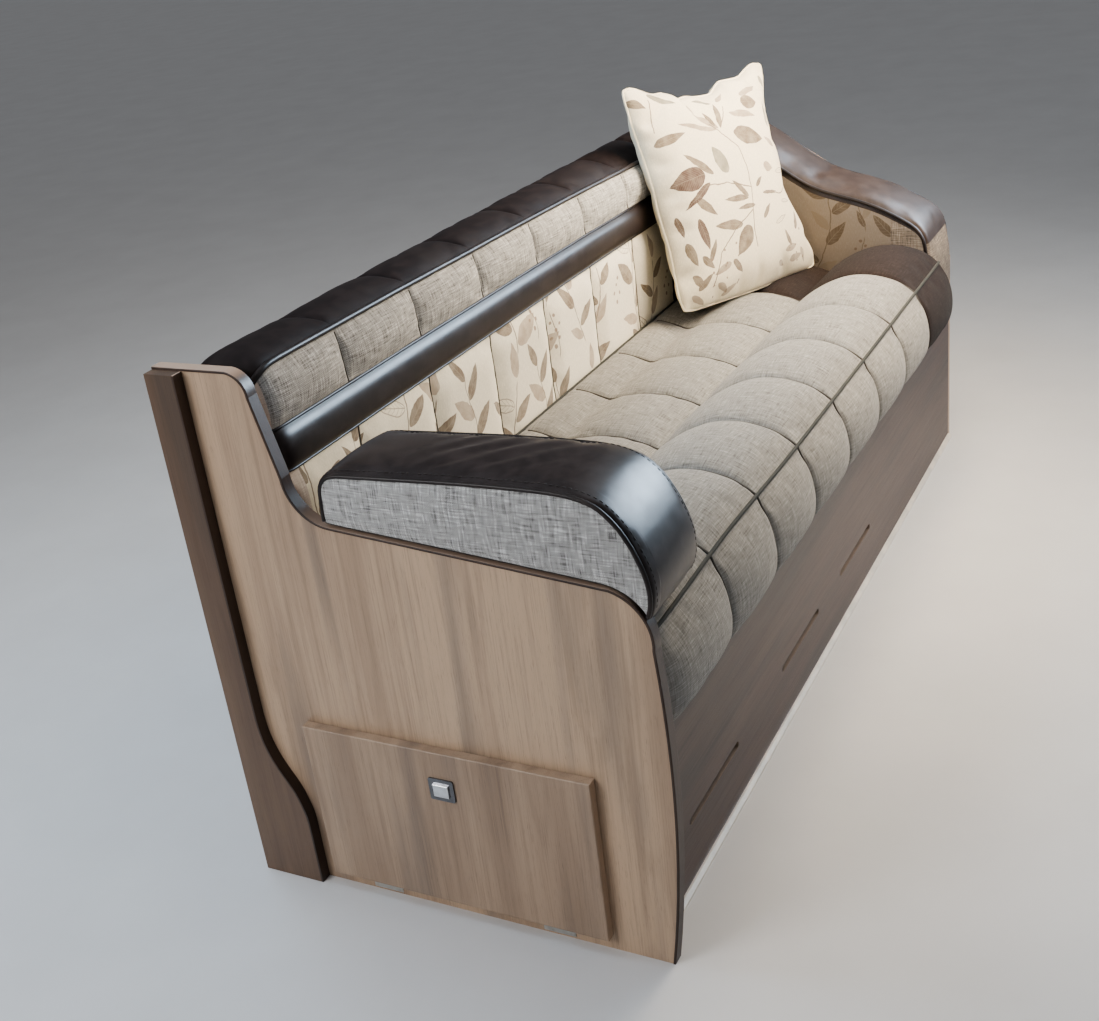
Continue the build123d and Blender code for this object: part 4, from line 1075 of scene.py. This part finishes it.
def build_back(name, u0, u1, seams, all_leather):
    P, zones, counts, cuts = loop_of(back_sides)
    nrm = loop_normals(P)
    us, ph, ch, sm = stations_between(u0, u1, seams, cells=17)
    nl = len(P)
    amp, groove = np.zeros(nl), np.zeros(nl)
    nA, nB = counts[0], counts[1]
    for j in range(nl):
        v, z = P[j]
        if zones[j] == "print":
            k = min(1.0, max(0.0, (671 - z) / 30.0)) * min(1.0, max(0.0, (z - 450) / 50.0))
            amp[j], groove[j] = 7.5 * k, 3.0 * k
        if zones[j] == "tweed":
            k = min(1.0, max(0.0, (z - 735) / 20.0)) ** 0.7 * min(1.0, max(0.0, (819 - z) / 18.0)) ** 0.7
            amp[j], groove[j] = 9.5 * k, 3.0 * k
        if zones[j] == "top":
            t = (v - 533) / 117.0
            amp[j] = 4.5 * max(0.0, math.sin(math.pi * min(max(t, 0), 1))) ** 0.8
            groove[j] = 1.5 * min(1.0, 4 * t)
    if all_leather:
        amp *= 0.8
    ins = end_inset(us, u0, u1, 10.0)
    if not all_leather:
        d = np.clip(us - u0, 0, 24.0)
        ins = np.maximum(ins, 24.0 - np.sqrt(np.maximum(24.0 ** 2 - (24.0 - d) ** 2, 0)))
    pf = puff_of(ph, 2.6)
    loops = np.zeros((len(us), nl, 2))
    for i, u in enumerate(us):
        near_seam = min([abs(u - s) for s in seams] or [1e3])
        g = groove * math.exp(-(near_seam / 3.5) ** 2)
        Q = P + nrm * (amp * pf[i] - g - ins[i])[:, None]
        # the top sinks a little towards the far end
        drop = float(np.interp(u, (24, 375, 578, 774, 1000, 1218, 1400, 1653), (0, 5, 10, 14, 20, 28, 34, 38)))
        sink = np.clip((P[:, 1] - 450.0) / 369.0, 0, 1) ** 1.8 * (1 - 0.70 * np.clip((P[:, 0] - 545.0) / 80.0, 0, 1))
        Q[:, 1] -= drop * sink
        if not all_leather and u < u0 + 45:
            t = 1 - (u - u0) / 45.0
            Q[:, 1] -= 20.0 * (1 - math.sqrt(1 - t * t)) * np.clip((P[:, 1] - 742.0) / 78.0, 0, 1) ** 1.3
        loops[i] = Q

    def mats(z, u):
        if z in ("under", "rear", "low"):
            return "lining" if z != "low" else ("leather" if all_leather else "print")
        if z == "top":
            return "leather_top"
        if all_leather or z == "band":
            return "leather"
        if (z == "tweed" and u < u0 + 11) or (z == "print" and u < u0 + 40):
            return "boxing"
        return z

    def rowz(end, z, v, h, b):
        if all_leather or z in ("band", "tweed"):
            return "leather"
        return "boxing"
    pad = Pad(name, list(us), loops, counts, zones, mats, None, cap_bulge=(2.5, 2.5), cap_row_zone=rowz,
              uv_shift=lambda u: ((int(np.searchsorted(seams, u)) * 137.0) % 214, (int(np.searchsorted(seams, u)) * 61.0) % 248))
    rows = (nA, nA + 26, nA + 36, nA + nB)
    for i in range(pad.ns):
        for j in range(nl):
            w = 1.0 if (zones[j] in ("under", "rear", "low", "band") or j in rows or j == 2 * nA + nB) else 0.0
            if (sm[i] or i in (0, pad.ns - 1)):
                w = 1.0
            pad.pin[pad.vid(i, j)] = w
    for ids in pad.cap_ids:
        pad.pin[ids] = 0.8
    pad.cap = 5.0
    pad.lo, pad.hi = (u0 - 4, 510.5, 348.3), (u1 + 4, 652, 860)
    pad.crease(rows=rows[1:], cols=[i for i in range(pad.ns) if sm[i]], weight=0.55, jrange=range(nA + 8, 2 * nA + nB))
    pad.seam_cols = [i for i in range(pad.ns) if sm[i]]
    pad.rows = rows
    PADS.append(pad)
    return pad


back = build_back("back_cushion_upholstery", 25.0, 1389.0, BACK_SEAMS, False)
corner = build_back("corner_cushion_upholstery", 1401.0, 1653.0, [1527.0], True)

# ------------------------------------------------------------------ corner bolster
bolster_sides = [
    [([(650, ZB), (46, ZB)], 44, "under")],
    [([(46, ZB), (36, 362), (33, 392), (33, 440), (35, 480), (40, 520)], 20, "end")],
    [([(40, 520), (46, 540), (60, 560), (80, 574), (104, 587), (147, 608), (194, 624), (242, 637), (290, 653), (338, 681), (394, 721),
       (440, 750), (515, 794), (545, 806), (600, 810), (650, 800)], 44, "top")],
    [([(650, 800), (650, ZB)], 20, "rear")],
]
P, zones, counts, cuts = loop_of(bolster_sides)
nrm = loop_normals(P)
B0, B1 = 1663.0, 1831.0
us = np.array([B0, B0 + 2, B0 + 5, B0 + 9] + [B0 + 9 + 150 * k / 12 for k in range(1, 12)] + [B1 - 9, B1 - 5, B1 - 2, B1])
ins = end_inset(us, B0, B1, 9.0) * np.where(us > B0 + 84, 0.45, 1.0)
nl = len(P)
loops = np.zeros((len(us), nl, 2))
amp = np.array([8.0 if zones[j] == "top" else (7.0 if zones[j] == "end" else 0.0) for j in range(nl)])
for j in range(nl):
    if zones[j] == "end":
        amp[j] *= max(0.0, math.sin(math.pi * min(max((P[j][1] - ZB) / 171.0, 0), 1))) ** 0.5
    if zones[j] == "top":
        s_ = (j - counts[0] - counts[1]) / counts[2]
        amp[j] *= max(0.0, math.sin(math.pi * s_)) ** 0.4
for i, u in enumerate(us):
    ph_ = (u - B0) / (B1 - B0)
    loops[i] = P + nrm * (amp * puff_of(np.array([ph_]), 2.4)[0] - ins[i])[:, None]
# the bolster's aisle end and near face take the painted-shade copies of the tweed and the print, darker as if in shadow
bolster = Pad("corner_bolster_upholstery", list(us), loops, counts, zones,
              lambda z, u: "lining" if z in ("under", "rear") else ("tweed_shade" if z == "end" else "taupe"),
              None, cap_bulge=(5.0, 1.0), cap_power=0.35,
              cap_row_zone=lambda end, z, v, h, b: "lining" if end else ("leather" if b == counts[1] - 1 else ("tweed_shade" if v < 124 else "print_shade")))
for i in range(bolster.ns):
    for j in range(nl):
        w = 1.0 if (zones[j] in ("under", "rear") or j in (counts[0], counts[0] + counts[1]) or i in (0, bolster.ns - 1)) else 0.0
        bolster.pin[bolster.vid(i, j)] = w
bolster.pin[bolster.cap_ids[0]] = 0.4
bolster.pin[bolster.cap_ids[1]] = 1.0
bolster.cap = 5.0
bolster.lo, bolster.hi = (1656.5, 22, 348.3), (1833, 652, 840)
bolster.crease(cols=(0, bolster.ns - 1), weight=0.5)
PADS.append(bolster)
bolster_jt = counts[0] + counts[1]
bolster_counts = counts

# ------------------------------------------------------------------ arm pad
arm_top = [(0, 640), (17, 667), (40, 689), (64, 699), (98, 704), (160, 705), (240, 703.5), (337, 699.5), (380, 697.5), (414, 696)]
arm_main = [
    [([(455, 508), (300, 508), (120, 508), (60, 509), (22, 515), (2, 526)], 50, "under")],
    [([(2, 526), (-11, 545), (-18, 574), (-13, 608), (0, 640)], 14, "lead")],
    [(arm_top, 50, "lead")],
    [([(414, 696), (432, 691), (445, 680), (451, 664), (455, 590), (455, 508)], 14, "lead")],
]
arm_near = [
    [([(450, 622.5), (438, 617.5), (300, 605), (160, 592), (60, 582.5), (36, 578.5), (16, 569.5), (2, 557.5), (-11, 541)], 50, "under")],
    [([(-11, 541), (-16.5, 556), (-18.5, 578), (-13, 608), (0, 640)], 14, "lead")],
    [(arm_top, 50, "lead")],
    [([(414, 696), (430, 692), (441, 684), (447, 672), (449, 650), (450, 622.5)], 14, "lead")],
]
PA, zones, counts, cuts = loop_of(arm_main)
PN, _, _, _ = loop_of(arm_near)
A0, A1 = 1.5, 149.0
us = [A0, A0 + 2, A0 + 5, A0 + 9, A0 + 13, 19.5, 20.6] + [21.0, 21.3, 21.6, 21.9, 22.2, 22.5] + [24, 29, 37, 47, 58, 69, 80, 91, 102, 113, 123, 132, A1 - 9, A1 - 5, A1 - 2, A1]
us = np.array(us)
mixw = np.array([0.0] * 7 + [1 / 7, 2 / 7, 3 / 7, 4 / 7, 5 / 7, 6 / 7] + [1.0] * (len(us) - 13))
nl = len(PA)
loops = np.zeros((len(us), nl, 2))
ins = end_inset(us, A0, A1, 4.0)
nA_, nB_ = counts[0], counts[1]
for i, u in enumerate(us):
    Q = PN * (1 - mixw[i]) + PA * mixw[i]
    nq = loop_normals(PA * 0.5 + PN * 0.5)
    crown = np.zeros(nl)
    for j in range(nl):
        if zones[j] == "lead":
            t = (j - nA_) / (nl - nA_)
            crown[j] = 5.0 * max(0.0, math.sin(math.pi * min(max(t, 0), 1))) ** 0.35
    pfv = 1 - abs(2 * (u - A0) / (A1 - A0) - 1) ** 2.2
    wr = np.zeros(nl)
    for j in range(nl):
        if zones[j] == "lead":
            v = Q[j][0]
            z = Q[j][1]
            if z > 640 and 90 < v < 330:
                env = math.sin(math.pi * (v - 90) / 240.0) * math.sin(math.pi * min(max((u - A0) / (A1 - A0), 0), 1))
                wr[j] = env * (2.1 * math.sin((v + 1.05 * u) / 8.5) + 1.3 * math.sin((v * 0.8 + 1.5 * u) / 5.6 + 1.0))
    loops[i] = Q + nq * (crown * pfv + wr - ins[i])[:, None]
arm = Pad("arm_pad_upholstery", list(us), loops, counts, zones,
          lambda z, u: "lining" if z == "under" else "leather", ("tweed", "tweed"), cap_bulge=(5.0, 5.0), cap_power=0.4)
arm_counts = counts
for i in range(arm.ns):
    for j in range(nl):
        w = 1.0 if (zones[j] == "under" or j in (nA_,) or i in (0, arm.ns - 1)) else 0.0
        if j in (0, nl - 1):
            w = 1.0
        arm.pin[arm.vid(i, j)] = w
arm.pin[arm.cap_ids[0]] = 0.25
arm.pin[arm.cap_ids[1]] = 0.5
arm.cap = 4.5
arm.lo, arm.hi = (-9, -32, 507), (157, 462, 722)
arm.crease(cols=(0, arm.ns - 1), weight=0.45)
PADS.append(arm)


# ------------------------------------------------------------------ scatter cushion
class Scatter:
    pass


def build_scatter():
    n = 46
    half = 231.0
    T = 58.0
    idx = {}
    verts, faces, uvs = [], [], []
    for side in (1, -1):
        for a in range(n + 1):
            for b in range(n + 1):
                x, y = 2 * a / n - 1, 2 * b / n - 1
                edge = a in (0, n) or b in (0, n)
                if edge and side == -1:
                    idx[(side, a, b)] = idx[(1, a, b)]
                    continue
                # the top and right sides draw in between wide ears, the left side and the foot stay nearly straight
                def dip(t, a, b):
                    t = min(max((b - abs(t)) / (b - a), 0.0), 1.0)
                    return t * t * (3 - 2 * t)
                kx = 0.040 * dip(y, 0.3, 0.95) if x < 0 else 0.255 * dip(y - 0.08, 0.25, 0.98)
                ky = -0.020 * dip(x, 0.0, 1.0) if y < 0 else 0.105 * dip(x + 0.02, 0.55, 0.90) + 0.095 * dip(x + 0.10, 0.20, 0.42) * (1 - 0.30 * math.exp(-((x + 0.22) / 0.12) ** 2))
                px = half * x * (1 - kx * abs(x) ** 1.5)
                py = half * y * (1 - ky * abs(y) ** 1.5)
                # blunt corners
                cn = (abs(x) * abs(y)) ** 9
                px *= 1 - 0.030 * cn
                py *= 1 - 0.030 * cn
                h = ((1 - x * x) * (1 - y * y))
                hz = T * (h ** 0.44)
                corner = max(0.0, abs(x) * abs(y) - 0.50) / 0.50
                hz *= 1 - 0.30 * corner
                # gathers that start at the corners, and slack folds along the drawn-in sides
                if corner > 0:
                    hz += 3.2 * corner * math.sin((abs(x) - abs(y)) * 19.0) * (h ** 0.3)
                near_top = max(0.0, y - 0.45) / 0.55
                near_side = max(0.0, x - 0.45) / 0.55
                hz += (2.6 * near_top * math.sin(x * 11.0 + 0.6) + 2.2 * near_side * math.sin(y * 10.0)) * (h ** 0.35)
                if edge:
                    s_ = x if b in (0, n) else y
                    hz = 2.4 * math.sin(s_ * 9.0) * (1 - abs(s_))
                idx[(side, a, b)] = len(verts)
                verts.append((px, py, side * hz if not edge else hz))
    for side in (1, -1):
        for a in range(n):
            for b in range(n):
                f = [idx[(side, a, b)], idx[(side, a + 1, b)], idx[(side, a + 1, b + 1)], idx[(side, a, b + 1)]]
                u = [(2 * a / n - 1, 2 * b / n - 1), (2 * (a + 1) / n - 1, 2 * b / n - 1),
                     (2 * (a + 1) / n - 1, 2 * (b + 1) / n - 1), (2 * a / n - 1, 2 * (b + 1) / n - 1)]
                if side < 0:
                    f, u = f[::-1], u[::-1]
                faces.append(tuple(f))
                uvs.append([(p[0] * half / 1000.0, p[1] * half / 1000.0) for p in u])
    me = bpy.data.meshes.new("scatter_cushion_upholstery")
    # the pillow's own frame: x along its width, y up its height, z through its thickness
    stand = (Matrix.Translation(W(1419.0, 353.0, 489.0)) @ Matrix.Rotation(math.radians(-16.8), 4, "Z")
             @ Matrix.Rotation(math.radians(-18.1), 4, "X") @ Matrix.Rotation(math.radians(3.9), 4, "Y")
             @ Matrix.Translation((0, 0, 0.2285)) @ Matrix.Rotation(math.radians(90), 4, "X"))
    me.from_pydata([tuple(stand @ Vector((v[0] / 1000, v[1] / 1000, v[2] / 1000))) for v in verts], [], faces)
    me.materials.append(M["print_big"])
    uv = me.uv_layers.new(name="UVMap")
    uv.data.foreach_set("uv", [c for q in uvs for p in q for c in p])
    me.update()
    s = Scatter()
    s.ob = link(bpy.data.objects.new("scatter_cushion_upholstery", me))
    s.pin = np.zeros(len(verts))
    for a in range(n + 1):
        for b in range(n + 1):
            if a in (0, n) or b in (0, n):
                cc = (a in (0, 1, n - 1, n)) and (b in (0, 1, n - 1, n))
                s.pin[idx[(1, a, b)]] = 1.0 if cc else 0.6
    s.cap, s.pressure, s.shrink = 9.0, 3.0, -0.03
    s.lo = s.hi = None
    s.coords = lambda: _coords(s.ob)
    s.edge = [idx[(1, a, 0)] for a in range(n)] + [idx[(1, n, b)] for b in range(n)] + \
             [idx[(1, a, n)] for a in range(n, 0, -1)] + [idx[(1, 0, b)] for b in range(n, 0, -1)]
    return s


def _coords(ob):
    a = np.zeros(len(ob.data.vertices) * 3)
    ob.data.vertices.foreach_get("co", a)
    return a.reshape(-1, 3)


scatter = build_scatter()
PADS.append(scatter)

run_cloth(PADS)
for pad in PADS:
    subdivide(pad.ob, 1)

# ------------------------------------------------------------------ piping, seams and stitches
trim_pieces = []


def piece(o, body, slot_name):
    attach(o, body)
    return o


def offset_path(path, d):
    return [Vector(p) + Vector(d) / 1000.0 for p in path]


# seat: piping along the top front edge and round both ends' tops
p = seat.row(jt)
p = [q + Vector((0, -0.0005, 0.0012)) for q in p]
piece(tube("seat_front_piping", p, 0.0029, "cord"), "loose_cushions", "seat_fabric")
paths = [seat.col(i, jf + 1, je - 1) for i in seat_seam_cols]
paths = [[q + Vector((0, 0, 0.0004)) for q in pth] for pth in paths]
for k, pth in enumerate(paths):
    piece(tube("seat_seam_%d" % k, pth, 0.0024, "seam"), "loose_cushions", "seat_fabric")
for k, i in enumerate((0, seat.ns - 1)):
    c = seat.coords()
    loop_pts = [Vector(c[seat.vid(i, j)]) for j in range(jf, je + 1)]
    dx = 0.0 if i == 0 else 0.0
    piece(tube("seat_end_piping_%d" % k, loop_pts, 0.0030, "cord"), "loose_cushions", "seat_fabric")
p = [q + Vector((0, 0.0004, 0.0010)) for q in seat.row(je)]
piece(tube("seat_rear_piping", p, 0.0024, "cord"), "loose_cushions", "seat_fabric")

# back cushions: piping at the top front edge and along both edges of the leather band, stitched seams
for nm, pad in (("back", back), ("corner", corner)):
    nA, nB = pad.counts[0], pad.counts[1]
    r = pad.rows
    piece(tube(nm + "_top_piping", [q + Vector((0, -0.0012, 0.001)) for q in pad.row(r[3])], 0.0046, "piping"), "root", "leather_brown")
    if nm == "back":
        piece(tube("back_band_piping_upper", [q + Vector((0, -0.0008, 0.0)) for q in pad.row(r[2])], 0.0026, "piping"), "root", "leather_brown")
        piece(tube("back_band_piping_lower", [q + Vector((0, -0.0008, 0.0)) for q in pad.row(r[1])], 0.0022, "piping"), "root", "leather_brown")
    paths = []
    for i in pad.seam_cols:
        paths.append(pad.col(i, nA + 8, r[1]))
        paths.append(pad.col(i, r[2], nA + nB - 1))
    for k, pth in enumerate(paths):
        piece(tube(nm + "_seam_%d" % k, pth, 0.0016, "seam"), "root", "tweed_and_print" if nm == "back" else "leather_brown")
    c = pad.coords()
    for k, i in enumerate((0, pad.ns - 1)):
        pts = [Vector(c[pad.vid(i, j)]) for j in range(nA + 2, 2 * nA + nB - 1)]
        piece(tube(nm + "_end_piping_%d" % k, pts, 0.0034, "piping"), "root", "leather_brown")

# bolster: piping round the print face and along the aisle end
c = bolster.coords()
nA, nB = bolster_counts[0], bolster_counts[1]
pts = [Vector(c[bolster.vid(0, j)]) for j in range(nA + 1, 2 * nA + nB)]
piece(tube("bolster_front_piping", pts, 0.0040, "piping"), "root", "leather_brown")
pts = [Vector(c[bolster.vid(bolster.ns - 1, j)]) for j in range(nA + 1, 2 * nA + nB)]
piece(tube("bolster_rear_piping", pts, 0.0035, "piping"), "root", "leather_brown")

# arm pad: piping round both faces
c = arm.coords()
nA, nB = arm_counts[0], arm_counts[1]
for k, i in enumerate((0, arm.ns - 1)):
    pts = [Vector(c[arm.vid(i, j)]) for j in range(nA, arm.nl)] + [Vector(c[arm.vid(i, 0)])]
    piece(tube("arm_pad_piping_%d" % k, pts, 0.0032, "piping"), "loose_cushions", "leather_brown")

paths = [[q + Vector((0, 0, 0.0002)) for q in (Vector(c[arm.vid(i, j)]) for j in range(nA + 2, arm.nl - 2))] for i in (3, arm.ns - 4)]
piece(stitches("arm_pad_topstitch", paths, "thread", 0.0085, 0.0055, 0.0007), "loose_cushions", "leather_brown")

# scatter cushion: the seam round its edge
c = _coords(scatter.ob)
piece(tube("scatter_cushion_piping", [Vector(c[i]) for i in scatter.edge], 0.0026, "print_big", closed=True), "loose_cushions", "print_fabric")

for pad, body, node, slot_name, fill in (
        (seat, "loose_cushions", "seat_cushion", "seat_fabric", 0.85),
        (back, "root", "back_cushion", "tweed_and_print", 0.85),
        (corner, "root", "corner_cushion", "leather_brown", 0.85),
        (bolster, "root", "corner_bolster", "print_fabric", 0.85),
        (arm, "loose_cushions", "arm_pad", "tweed", 0.85),
        (scatter, "loose_cushions", "scatter_cushion", "print_fabric", 0.6)):
    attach(pad.ob, body)
    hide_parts(node)

# ------------------------------------------------------------------ floor, lights, camera
me = bpy.data.meshes.new("floor")
me.from_pydata([(-40, -40, 0), (40, -40, 0), (40, 40, 0), (-40, 40, 0)], [], [(0, 1, 2, 3)])
me.materials.append(M["floor"])
floor = link(bpy.data.objects.new("floor", me))


def area(name, loc, target, size, power, colour=(1, 1, 1)):
    d = bpy.data.lights.new(name, "AREA")
    d.shape = "RECTANGLE"
    d.size, d.size_y = size
    d.energy = power
    d.color = colour
    o = link(bpy.data.objects.new(name, d))
    o.location = loc
    o.rotation_euler = (Vector(target) - Vector(loc)).to_track_quat("-Z", "Y").to_euler()
    return o


def sun(name, toward, strength, angle, colour=(1, 1, 1)):
    d = bpy.data.lights.new(name, "SUN")
    d.energy = strength
    d.angle = math.radians(angle)
    d.color = colour
    o = link(bpy.data.objects.new(name, d))
    o.location = (0, 0, 4)
    o.rotation_euler = Vector(toward).to_track_quat("-Z", "Y").to_euler()
    return o


area("ceiling", (-0.2, -0.28, 1.80), (-0.2, 0.0, 0.5), (1.9, 0.4), 2.2, (0.93, 0.965, 1.0))
area("lamp_far", (0.50, -0.62, 1.28), (0.30, 0.22, 0.60), (0.9, 0.6), 21, (1.0, 0.84, 0.64)).visible_glossy = False
area("lamp_corner", (0.52, -0.28, 1.42), (0.34, 0.12, 0.55), (0.5, 0.4), 12, (1.0, 0.82, 0.58)).visible_glossy = False
area("window_front", (1.95, -1.75, 1.55), (-0.6, -0.2, 0.6), (1.7, 1.2), 13, (0.82, 0.91, 1.0)).visible_glossy = False
area("window_card", (1.40, -1.45, 1.70), (-0.84, 0.10, 0.68), (1.7, 1.3), 190, (0.68, 0.84, 1.0)).visible_diffuse = False
area("window_side", (-0.65, 1.15, 2.05), (-0.35, -0.05, 0.45), (1.4, 0.9), 24, (0.60, 0.80, 1.0)).visible_glossy = False
area("door_near", (-2.6, 1.0, 1.6), (-0.9, 0.0, 0.60), (1.2, 1.0), 29, (0.97, 0.98, 1.0))
sun("room", (0.10, -0.10, -1.0), 0.29, 75, (0.97, 0.98, 1.0))

w = bpy.data.worlds.new("studio")
bpy.context.scene.world = w
w.use_nodes = True
bg = w.node_tree.nodes.get("Background") or w.node_tree.nodes.new("ShaderNodeBackground")
bg.inputs[0].default_value = (0.86, 0.90, 0.95, 1.0)
bg.inputs[1].default_value = 0.175
bpy.context.scene.view_settings.look = "AgX - Medium High Contrast"

cam = bpy.data.cameras.new("camera")
cam.sensor_width = 36.0
cam.lens = 46.5
co = link(bpy.data.objects.new("camera", cam))
right, up, back_ = (0.44199, -0.88958, -0.11531), (0.43129, 0.09803, 0.89687), (-0.78653, -0.44614, 0.427)
m = Matrix(((right[0], up[0], back_[0], -2.2443), (right[1], up[1], back_[1], -0.9771), (right[2], up[2], back_[2], 1.400), (0, 0, 0, 1)))
co.matrix_world = m
bpy.context.scene.camera = co
